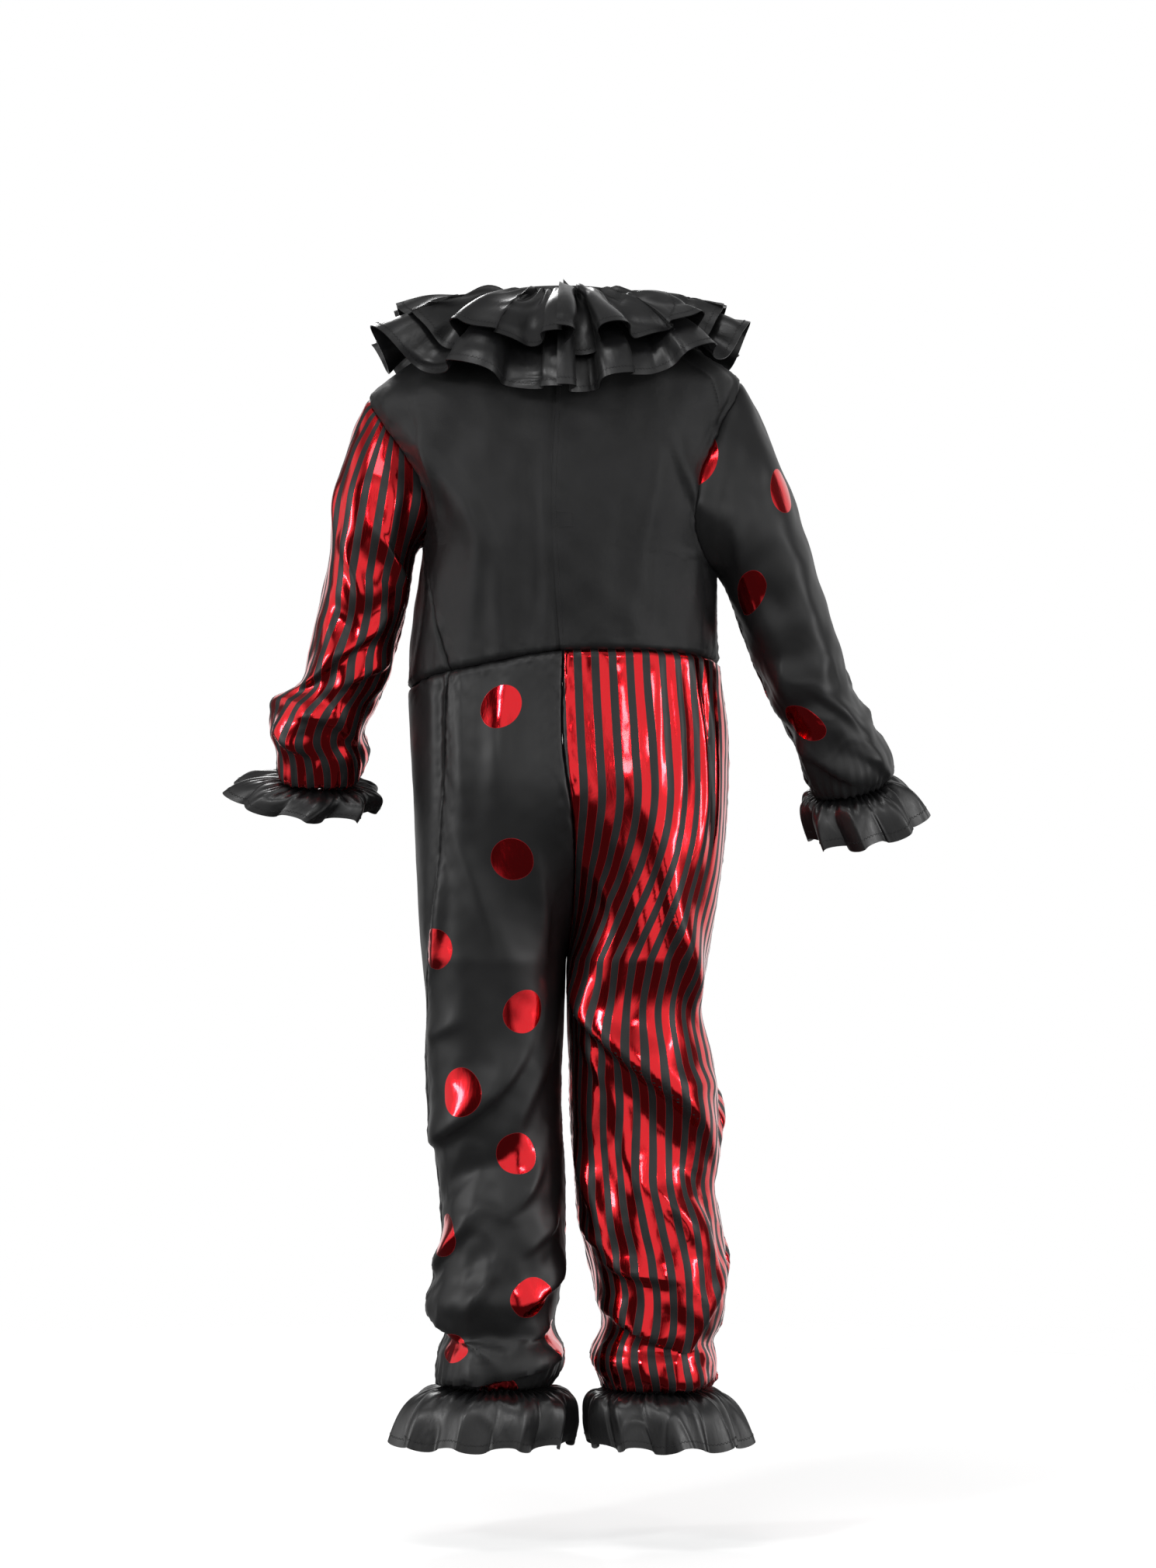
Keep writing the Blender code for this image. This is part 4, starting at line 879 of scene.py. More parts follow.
def stitch_row(name, line, outward, pitch, gap=0.3, swing=0.0):
    """Stitches along a line of points. swing makes them a zigzag, to both sides of the line."""
    lengths = line_lengths(line)
    count = max(2, int(lengths[-1] / pitch))
    starts = np.linspace(0, lengths[-1], count + 1)

    def at(where):
        return np.stack([np.interp(where, lengths, line[:, k]) for k in range(3)], axis=-1)

    up = unit(np.stack([np.interp(starts[:-1], lengths, outward[:, k]) for k in range(3)], axis=-1))
    head, tail = at(starts[:-1] + pitch * gap / 2), at(starts[1:] - pitch * gap / 2)
    across = unit(np.cross(tail - head, up))
    zig = np.where(np.arange(count) % 2 == 0, 1.0, -1.0)[:, None] * swing
    head, tail = head + across * zig, tail - across * zig
    across = unit(np.cross(tail - head, up))
    middle = (head + tail) / 2 + up * THREAD * 0.9
    ring = [(1, 0), (0, 1), (-1, 0), (0, -1)]
    corners = [place + (across * a + up * b) * THREAD / 2 * size
               for place, size in ((head, 0.6), (middle, 1.0), (tail, 0.6)) for a, b in ring]
    vertices = np.stack(corners, axis=1).reshape(-1, 3)
    faces = []
    for base in range(0, 12 * count, 12):
        for level in (0, 4):
            faces += [(base + level + k, base + level + (k + 1) % 4, base + level + 4 + (k + 1) % 4,
                       base + level + 4 + k) for k in range(4)]
        faces += [(base + 3, base + 2, base + 1, base), (base + 8, base + 9, base + 10, base + 11)]
    mesh = bpy.data.meshes.new(name)
    mesh.from_pydata(vertices.tolist(), [], faces)
    mesh.materials.append(black_thread)
    mesh.shade_smooth()
    made = bpy.data.objects.new(name, mesh)
    bpy.context.scene.collection.objects.link(made)
    return made


STITCH_LIFT = 0.0001


def line_on_trunk(turns, drops):
    """A line of points on the trunk's cloth, with the outward direction at each."""
    outward = directions(trunk_form, turns, drops)[0]
    return trunk_cloth(turns, drops) + outward * STITCH_LIFT, outward


print("thread", THREAD * 1000, "mm thick")

# %% [markdown]
# The tape that closes the back is sewn on in a small box. Only the box shows from outside, below the
# shoulders, beside the free edge of the lap.

# %% The box of stitches over the closing tape

TAPE_TOP, TAPE_BOTTOM = 0.185, 0.1975
TAPE_IN, TAPE_OUT = -0.0005, -0.0185  # from the lap's edge, towards the wearer's right
TAPE_PITCH, SIDE_POINTS = 0.0022, 12
LAP_STITCH_IN, LAP_STITCH_END = 0.0035, 0.304
LAP_PITCH, LAP_POINTS = 0.0026, 160

corners = ((TAPE_IN, TAPE_TOP), (TAPE_OUT, TAPE_TOP), (TAPE_OUT, TAPE_BOTTOM), (TAPE_IN, TAPE_BOTTOM))
box_shift, box_drop = [], []
for (shift, drop), (to_shift, to_drop) in zip(corners, corners[1:]):
    box_shift.append(np.linspace(shift, to_shift, SIDE_POINTS))
    box_drop.append(np.linspace(drop, to_drop, SIDE_POINTS))
box_drop = np.concatenate(box_drop)
box_turn = turn_at(along(BACK_LAP, box_drop) + np.concatenate(box_shift), box_drop)
tape_box = stitch_row("tape_box_stitches", *line_on_trunk(box_turn, box_drop), TAPE_PITCH)
lap_drops = np.linspace(0.0, LAP_STITCH_END, LAP_POINTS)
lap_turns = turn_at(along(BACK_LAP, lap_drops) - LAP_STITCH_IN, lap_drops)
lap_stitches = stitch_row("lap_stitches", *line_on_trunk(lap_turns, lap_drops), LAP_PITCH)
enter(back_right, BACK_RIGHT_CUT, (tape_box, lap_stitches))

# %% [markdown]
# ## Sleeves
# A sleeve is one tube from the armhole to the wrist. It is wide and full, and just above the frill it
# blouses over the elastic. The tube is a table of rings again, seen from behind: where its outer and its
# inner edge lie, how deep it is, and how far the ring is carried forward where the arm bends. Its first ring
# has the armhole's own shape, and that shape dies away down the sleeve.

# %% Rings of the sleeves

Cuff = namedtuple("Cuff", "outer outer_drop inner inner_drop half_depth back tip")
SLEEVES = {
    "left": (
        Cuff(0.174, 0.075, 0.128, 0.212, 0.074, 0.000, 0),
        Cuff(0.193, 0.118, 0.132, 0.219, 0.070, 0.001, 0),
        Cuff(0.206, 0.165, 0.135, 0.232, 0.064, 0.003, 0),
        Cuff(0.211, 0.217, 0.137, 0.250, 0.058, 0.005, 0),
        Cuff(0.220, 0.262, 0.143, 0.277, 0.054, 0.006, 0),
        Cuff(0.230, 0.308, 0.152, 0.309, 0.052, 0.004, 2),
        Cuff(0.236, 0.334, 0.157, 0.333, 0.050, 0.001, 5),
        Cuff(0.259, 0.353, 0.169, 0.355, 0.053, -0.004, 9),
        Cuff(0.266, 0.374, 0.181, 0.379, 0.053, -0.010, 12),
        Cuff(0.262, 0.393, 0.176, 0.397, 0.050, -0.015, 14),
        Cuff(0.258, 0.409, 0.179, 0.411, 0.045, -0.018, 15),
        Cuff(0.251, 0.421, 0.190, 0.427, 0.037, -0.020, 16),
    ),
    "right": (
        Cuff(0.160, 0.060, 0.141, 0.239, 0.076, 0.000, 0),
        Cuff(0.184, 0.104, 0.145, 0.245, 0.072, 0.001, 0),
        Cuff(0.203, 0.150, 0.150, 0.256, 0.066, 0.003, 0),
        Cuff(0.220, 0.199, 0.157, 0.273, 0.059, 0.005, 0),
        Cuff(0.235, 0.249, 0.165, 0.296, 0.055, 0.006, 0),
        Cuff(0.251, 0.299, 0.176, 0.323, 0.052, 0.005, 2),
        Cuff(0.266, 0.346, 0.189, 0.352, 0.050, 0.001, 5),
        Cuff(0.284, 0.376, 0.205, 0.376, 0.051, -0.004, 9),
        Cuff(0.297, 0.400, 0.213, 0.396, 0.051, -0.009, 12),
        Cuff(0.299, 0.415, 0.217, 0.413, 0.046, -0.013, 14),
        Cuff(0.294, 0.4245, 0.229, 0.437, 0.037, -0.016, 16),
    ),
}
SLEEVE_LIFT, UNDERARM_LIFT = 0.0005, 0.0011
ARMHOLE_REACH = 2.2
SLEEVE_RADIUS = 0.045


def side_of(name):
    return 1 if name == "left" else -1


def armhole_point(name, angle):
    turn, drop = armhole_turn_drop(name, angle)
    lift = SLEEVE_LIFT + (UNDERARM_LIFT - SLEEVE_LIFT) * ease(-1.2 * cosd(angle))
    return trunk_cloth(turn, drop) + directions(trunk_form, turn, drop)[0] * lift[..., None]


def sleeve_ring(name, place):
    """Centre, sideways and backward half axes of the ring at a place counted in rings down the sleeve."""
    side = side_of(name)
    counted = [(k, *ring) for k, ring in enumerate(SLEEVES[name])]
    outer, outer_drop, inner, inner_drop, half_depth, back, tip = np.moveaxis(through(counted, place), -1, 0)
    centre = points(side * (outer + inner) / 2, back, -(outer_drop + inner_drop) / 2)
    sideways = points(side * (outer - inner) / 2, 0.0, (inner_drop - outer_drop) / 2)
    backward = points(0.0, half_depth * cosd(tip), -half_depth * sind(tip))
    return centre, sideways, backward


def sleeve_lengths(name):
    """How far each ring of a sleeve lies from the first, through their centres."""
    return line_lengths(sleeve_ring(name, np.arange(len(SLEEVES[name])))[0])


def sleeve_form(name, turn, length):
    """Turn 0 is the outer side, 90 the back and 180 the side by the body."""
    lengths = sleeve_lengths(name)
    place = np.interp(length, lengths, np.arange(len(lengths)))
    centre, sideways, backward = sleeve_ring(name, place)
    c, s = turned(turn)
    ring = centre + sideways * c[..., None] + backward * s[..., None]
    start_centre, start_sideways, start_backward = sleeve_ring(name, np.zeros_like(place))
    plain_start = start_centre + start_sideways * c[..., None] + start_backward * s[..., None]
    fading = np.clip(1 - place / ARMHOLE_REACH, 0, 1)[..., None] ** 2
    return ring + (armhole_point(name, turn) - plain_start) * fading


for name in SLEEVES:
    print(name, "sleeve:", round(float(sleeve_lengths(name)[-1]), 3), "m long")

# %% [markdown]
# The folds of the back were placed one by one. The front hangs in the same way but never alike, so each
# front takes the folds of the other limb's back, mirrored and shifted down a little. At the elastic the
# cloth is gathered in small upright pleats, which a wave round the ring gives; the wave's pace wanders,
# because elastic never gathers evenly.

# %% Folds and gathers of the sleeves

SLEEVE_BACK_FOLDS = {
    "left": (
        Fold(54, 0.085, 93, 0.123, 0.0045, 0.008, -0.3, 0.002),
        Fold(106, 0.060, 147, 0.125, 0.0060, 0.007, 0.5, 0.008),
        Fold(21, 0.046, 35, 0.090, 0.0040, 0.008, 0.2, 0),
        Fold(26, 0.203, 104, 0.152, 0.0085, 0.009, -0.6, 0.002),
        Fold(90, 0.195, 172, 0.262, 0.0075, 0.010, -0.45, -0.008),
        Fold(66, 0.226, 118, 0.234, 0.0055, 0.007, -0.4, 0.002),
        Fold(8, 0.283, 147, 0.287, 0.0065, 0.007, -0.6, -0.003),
        Fold(112, 0.154, 128, 0.127, 0.0055, 0.008, 0.2, 0),
        Fold(84, 0.195, 148, 0.174, 0.0065, 0.009, -0.45, 0.003),
        Fold(92, 0.009, 111, 0.060, 0.0040, 0.008, 0.2, 0.002),
        Fold(34, 0.240, 82, 0.258, 0.0060, 0.007, -0.5, -0.003),
        Fold(-6, 0.232, 34, 0.214, 0.0050, 0.008, -0.4, 0.003),
        Fold(118, 0.302, 160, 0.288, 0.0045, 0.006, -0.4, 0),
        Fold(48, 0.130, 88, 0.158, -0.0045, 0.010, 0, 0.003),
    ),
    "right": (
        Fold(142, 0.006, 64, 0.004, 0.0032, 0.008, -0.2, -0.010),
        Fold(122, 0.062, 106, 0.033, 0.0034, 0.008, 0.2, 0.001),
        Fold(139, 0.256, 73, 0.286, 0.0065, 0.008, -0.5, -0.003),
        Fold(149, 0.250, 128, 0.299, 0.0050, 0.008, -0.3, 0.002),
        Fold(119, 0.176, 128, 0.211, 0.0045, 0.010, 0.2, 0),
        Fold(86, 0.202, 50, 0.236, 0.0055, 0.010, -0.4, 0.003),
        Fold(70, 0.060, 63, 0.180, 0.0030, 0.015, 0, 0.004),
        Fold(104, 0.090, 96, 0.190, -0.0028, 0.013, 0, 0.003),
        Fold(60, 0.262, 18, 0.290, 0.0050, 0.009, -0.4, 0.002),
        Fold(110, 0.300, 60, 0.312, 0.0045, 0.006, -0.4, 0.001),
    ),
}
SLEEVE_GATHERS, LEG_GATHERS = 34, 44  # pleats round a wrist and round an ankle
PLEAT_HEIGHT, PLEAT_REACH = 0.0016, 0.016

# Small crumples lie all over a limb: waves, finer ripples and, where the cloth piles up, sharp creases.
Crumple = namedtuple("Crumple", "wave wave_size stretch ripple_size crease_size seed")
SLEEVE_CRUMPLE = Crumple(0.0006, 0.050, (1, 1, 1), 0.021, 0.045, 21)
LEG_CRUMPLE = Crumple(0.0007, 0.070, (1, 1, 1.8), 0.024, 0.052, 41)
LOW_WAVE, RIPPLE, LOW_RIPPLE, LOW_CREASE = 0.0005, 0.0001, 0.0002, 0.0007
SLEEVE_LOW, SLEEVE_LOW_SPAN = 0.13, 0.10  # a sleeve's cloth piles up below this length, fully after the span
UNDERARM_CALM = 0.15  # how much of a fold's height is left under the arm


def on_the_front(folds, shift):
    return tuple(
        Fold(-fold.turn, fold.place + shift, -fold.to_turn, fold.to_place + shift, fold.height, fold.width,
             -fold.roll, -fold.bow)
        for fold in folds
    )


def gathers(turn, count, seed):
    """Uneven little pleats round a ring, about 1 high."""
    pace = count * turn + 95 * sind(3 * turn + 40 * seed) + 60 * sind(5 * turn + 65 * seed)
    return cosd(pace) * (1 + 0.45 * sind(2 * turn + 50 * seed) * sind(7 * turn))


def crumpled(moved, kind, low):
    """Height of the crumples at each point. low is 1 where the cloth piles up and 0 where it hangs."""
    height = (kind.wave + LOW_WAVE * low) * ripples(moved, kind.wave_size, kind.seed, kind.stretch)
    height = height + (RIPPLE + LOW_RIPPLE * low) * ripples(moved, kind.ripple_size, kind.seed + 1)
    return height + LOW_CREASE * low * creases(moved, kind.crease_size, kind.seed + 2)


def sleeve_cloth(name, turn, length):
    """A sleeve's outer skin as it is worn, and the outward directions."""
    side, end = side_of(name), sleeve_lengths(name)[-1]
    other = "right" if name == "left" else "left"
    folds = SLEEVE_BACK_FOLDS[name] + on_the_front(SLEEVE_BACK_FOLDS[other], 0.004)

    def form(a, b):
        return sleeve_form(name, a, b)

    calm = UNDERARM_CALM + (1 - UNDERARM_CALM) * ease((180 - np.abs((turn + 180) % 360 - 180)) / 45)
    calm = calm * ease(length / 0.025) * ease((end - length) / 0.012)
    safe = np.clip(length, PLACE_STEP * 1.01, end - PLACE_STEP * 1.01)
    moved = folded(form, folds, turn, safe, SLEEVE_RADIUS, side, calm) + form(turn, length) - form(turn, safe)
    outward = directions(form, turn, safe, side)[0]
    crumple = crumpled(moved, SLEEVE_CRUMPLE, ease((length - SLEEVE_LOW) / SLEEVE_LOW_SPAN))
    pleats = PLEAT_HEIGHT * gathers(turn, SLEEVE_GATHERS, 1) * np.exp(-(end - length) / PLEAT_REACH)
    calm_ends = ease(length / 0.02) * ease((end - length) / 0.006)
    return moved + outward * (crumple * calm_ends + pleats)[..., None], outward


print(sum(len(folds) for folds in SLEEVE_BACK_FOLDS.values()), "folds on the backs of the sleeves")

# %% [markdown]
# ## Where a dot or a stripe falls
# The printed cloth is cut first and sewn afterwards, so the print is placed on the cut cloth. The dots that
# show are known as places on the worn sleeve or leg. The UVs of the nearest grid points say where such a
# place is on the cut cloth. Elsewhere the dots follow the print's own repeat: columns side by side, every
# second one half a repeat lower.

# %% Placing dots on the cut cloth

DOT_COLUMN, DOT_REPEAT = 0.062, 0.133
DOT_CLEARANCE = 0.052  # a repeat's dot nearer than this to a placed one is left out


def place_on_cut(turns, ways, places, turn, way, reach):
    """The place on the cut cloth of a turn and a way along the piece."""
    inside = max(way, 0.0)
    far = np.hypot(np.radians(turns - turn) * reach, ways - inside).ravel()
    near = np.argsort(far)[:6]
    weight = 1 / (far[near] + 1e-6) ** 2
    across, down = (places.reshape(-1, 2)[near] * weight[:, None]).sum(axis=0) / weight.sum()
    return across, down + way - inside


def dots(places, placed, origin, shown):
    """The placed dots, and those of the repeat that keep clear of them and of where shown is set."""
    every = places.reshape(-1, 2)
    low, high = every.min(axis=0), every.max(axis=0)
    found = [tuple(map(float, dot)) for dot in placed]
    for column in range(-12, 13):
        for row in range(-8, 9):
            dot = (origin[0] + column * DOT_COLUMN, origin[1] + (row + 0.5 * (column % 2)) * DOT_REPEAT)
            inside = all(a - DOT / 2 < x < b + DOT / 2 for x, a, b in zip(dot, low, high))
            hidden = inside and not shown.ravel()[np.argmin(np.hypot(*(every - dot).T))]
            if hidden and all(np.hypot(dot[0] - x, dot[1] - y) > DOT_CLEARANCE for x, y in placed):
                found.append(dot)
    return found


print("one dot in every", round(DOT_COLUMN * DOT_REPEAT * 1e4 / 2), "square cm or so")

# %% [markdown]
# The armhole runs askew round the sleeve, so places measured from it would bend the print. They are measured
# from a level row further down instead. The rows of points lie closer together at both ends, where the seam
# and the gathers need more of them.

# %% A sleeve's rows, and its places on the cut cloth

SLEEVE_ROWS, SLEEVE_COLUMNS = 128, 128
CAP_LENGTH = 0.10  # the armhole's own shape has died away this far down
# The sleeve's own direction is taken from half way down the cap to this many rows below its foot.
AXIS_ROWS = 12


def edge_crowded(length, count, first, last):
    """Places from 0 to a length, closer together at the ends that are asked for."""
    t = np.linspace(0, 1, count + 1)
    warp = t + first * (-0.5 * np.sin(np.pi * t) / np.pi) + last * (0.5 * np.sin(np.pi * t) / np.pi)
    return length * (warp - warp[0]) / (warp[-1] - warp[0])


def sleeve_places(name, outer, length):
    """Places on the cut cloth of a sleeve that is cut open at its first column.

    Above the cap's foot a point takes its place across from the foot's row straight below it, and its place
    down from how far above that row it lies.
    """
    whole = np.concatenate([outer, outer[:, :1]], axis=1)
    places = cut_places(whole, SLEEVE_COLUMNS // 2)
    foot = int(np.argmin(np.abs(length[:, 0] - CAP_LENGTH)))
    middles = whole.mean(axis=1)
    down = unit(middles[foot + AXIS_ROWS] - middles[foot // 2])
    sideways = unit(np.cross((0.0, 1.0, 0.0), down)) * -side_of(name)
    from_foot = whole - middles[foot]
    fall = from_foot @ down
    angle = np.degrees(np.arctan2(from_foot[..., 1], from_foot @ sideways))
    turns = np.linspace(-180, 180, whole.shape[1])
    angle = turns + (angle - turns + 180) % 360 - 180
    for row in range(foot):
        places[row, :, 0] = np.interp(angle[row], angle[foot], places[foot, :, 0])
        places[row, :, 1] = places[foot, :, 1] + fall[row] - np.interp(angle[row], angle[foot], fall[foot])
    return places


print("sleeve grid:", SLEEVE_ROWS, "rows of", SLEEVE_COLUMNS)

# %% [markdown]
# The left sleeve is striped and the right one dotted. The stripes run along the sleeve, and because the
# sleeve narrows, they run into its seam under the arm.

# %% The two sleeves

SLEEVE_CUTS = {"left": (0.46, 0.40), "right": (0.47, 0.42)}
SLEEVE_STRIPE_START = 0.0045
SLEEVE_DOTS = ((84, -0.004), (40.5, 0.061), (123, 0.095), (119.5, 0.235))
SLEEVE_REPEAT_DOT = 1  # the placed dot from which the repeat is counted
# The middle of what shows of a sleeve and of a leg, and how far it goes to both sides of it, in degrees.
SLEEVE_SHOWS, LEG_SHOWS, SHOWN_REACH = 80, 85, 110


def sleeve_finish(name, turn, length, places):
    """The printed cloth of a sleeve, and its slot."""
    if name == "left":
        return striped_cloth("striped_sleeve_cloth", SLEEVE_STRIPE_START), "striped_foil_cloth"
    placed = [place_on_cut(turn, length, places[:, :-1], *dot, SLEEVE_RADIUS) for dot in SLEEVE_DOTS]
    shown = np.pad(np.abs(turn - SLEEVE_SHOWS) < SHOWN_REACH, ((0, 0), (0, 1)), mode="edge")
    centres = dots(places, placed, placed[SLEEVE_REPEAT_DOT], shown)
    return dotted_cloth("dotted_sleeve_cloth", centres), "dotted_foil_cloth"


for name in SLEEVES:
    turns = np.linspace(-180, 180, SLEEVE_COLUMNS + 1)[:-1]
    turn, length = np.meshgrid(turns, edge_crowded(sleeve_lengths(name)[-1], SLEEVE_ROWS, 1, 1))
    outer, outward = sleeve_cloth(name, turn, length)
    outer = sewn(outer, outward, ("first_column", "last_column", "last_row"), 31)
    into_trunk = -directions(trunk_form, *armhole_turn_drop(name, turn))[0]
    sink = (SEAM_DEPTH + UNDERARM_LIFT) * np.exp(-((length / SEAM_WIDTH) ** 2)) + TUCK * (length < 1e-6)
    outer = outer + into_trunk * sink[..., None]
    places = sleeve_places(name, outer, length)
    finish, slot = sleeve_finish(name, turn, length, places)
    sleeve = shell(f"sleeve_{name}_cloth", outer, -outward, CLOTH, places, True, finish, wrong_side)
    enter(sleeve, SLEEVE_CUTS[name])
    print(name, "sleeve area", round(area_of(outer, True), 4))

# %% [markdown]
# ## Legs
# Each leg is a back and a front, sewn at the side and along the inner leg, and the two legs are sewn to each
# other from the waist to the crotch. Above the crotch a leg takes the trunk's form, and below it becomes a
# tube of its own. Blending the two forms keeps the seat smooth, where joining a barrel to two pipes would
# leave a crease.

# %% Rings of the legs

SEAT_DROP, CROTCH_DROP = 0.420, 0.585
Leg = namedtuple("Leg", "drop outer inner back front")
LEGS = {
    "left": (
        Leg(0.300, 0.140, -0.001, 0.104, 0.106),
        Leg(0.425, 0.135, -0.005, 0.112, 0.104),
        Leg(0.475, 0.134, -0.010, 0.108, 0.098),
        Leg(0.535, 0.131, -0.009, 0.100, 0.090),
        Leg(0.592, 0.126, -0.002, 0.090, 0.080),
        Leg(0.627, 0.123, -0.001, 0.086, 0.078),
        Leg(0.673, 0.124, 0.000, 0.080, 0.080),
        Leg(0.725, 0.121, 0.000, 0.076, 0.082),
        Leg(0.761, 0.115, -0.002, 0.074, 0.080),
        Leg(0.795, 0.112, -0.003, 0.077, 0.074),
        Leg(0.834, 0.110, -0.002, 0.082, 0.068),
        Leg(0.873, 0.114, 0.000, 0.084, 0.064),
        Leg(0.893, 0.121, 0.003, 0.087, 0.064),
        Leg(0.910, 0.115, 0.007, 0.080, 0.062),
        Leg(0.924, 0.106, 0.006, 0.073, 0.060),
        Leg(0.941, 0.113, -0.002, 0.081, 0.062),
        Leg(0.958, 0.112, 0.001, 0.078, 0.058),
        Leg(0.974, 0.107, 0.012, 0.064, 0.046),
    ),
    "right": (
        Leg(0.300, 0.142, 0.001, 0.104, 0.106),
        Leg(0.425, 0.151, 0.005, 0.114, 0.104),
        Leg(0.475, 0.148, 0.010, 0.110, 0.098),
        Leg(0.535, 0.141, 0.009, 0.102, 0.090),
        Leg(0.592, 0.131, 0.005, 0.090, 0.080),
        Leg(0.627, 0.125, 0.005, 0.084, 0.078),
        Leg(0.673, 0.136, 0.006, 0.084, 0.084),
        Leg(0.706, 0.141, 0.006, 0.080, 0.086),
        Leg(0.755, 0.139, 0.008, 0.074, 0.082),
        Leg(0.785, 0.136, 0.011, 0.078, 0.076),
        Leg(0.824, 0.144, 0.015, 0.084, 0.070),
        Leg(0.859, 0.148, 0.025, 0.087, 0.066),
        Leg(0.895, 0.146, 0.032, 0.088, 0.064),
        Leg(0.916, 0.140, 0.036, 0.080, 0.060),
        Leg(0.932, 0.134, 0.030, 0.074, 0.060),
        Leg(0.948, 0.138, 0.027, 0.081, 0.062),
        Leg(0.962, 0.137, 0.032, 0.077, 0.056),
        Leg(0.976, 0.133, 0.037, 0.064, 0.046),
    ),
}
LEG_SIDE_SEAM = {
    "left": (
        Seam(0.320, 92), Seam(0.394, 84), Seam(0.442, 74), Seam(0.495, 60),
        Seam(0.555, 40), Seam(0.592, 27), Seam(0.630, 14), Seam(0.700, 8), Seam(0.980, 8),
    ),
    "right": (Seam(0.320, -8), Seam(0.700, -8), Seam(0.980, -8)),
}
SEAM_GAP = 0.0003
LEG_RADIUS = 0.066


def leg_form(name, turn, drop):
    """Turn 0 is the outer side, 90 the back, 180 the inner seam, and -90 the front."""
    side = side_of(name)
    middle = np.where(turn > 0, turn_at(along(BACK_SEAM, drop), drop), 90.0)
    quarter = middle if side == 1 else np.where(turn > 0, 180 - middle, 90.0)
    trunk_turn = turn / 180 * quarter
    trunk = trunk_form(trunk_turn if side == 1 else 180 - trunk_turn, drop)
    outer, inner, back, front = np.moveaxis(through(LEGS[name], drop), -1, 0)
    c, s = turned(turn)
    depth = np.where(s > 0, back, front)
    tube = points(side * ((outer + inner) / 2 + (outer - inner) / 2 * c), depth * s, -np.asarray(drop, float))
    parted = np.clip((drop - SEAT_DROP) / (CROTCH_DROP - SEAT_DROP), 0, 1)[..., None]
    share = 1 - np.cos(parted * np.pi / 2)
    return trunk + (tube - trunk) * share + points(side * SEAM_GAP / 2, 0.0, 0.0)


for name, rings in LEGS.items():
    print(name, "leg, from waist to ankle:", round(rings[-1].drop - 0.32, 3), "m")

# %% [markdown]
# A leg's folds tell how it is worn. Long ones hang from the seat, a deep one drags across the back of the
# knee, and the loose cloth piles up in short ones above the ankle, where the lowest hangs over the elastic.

# %% Folds of the legs

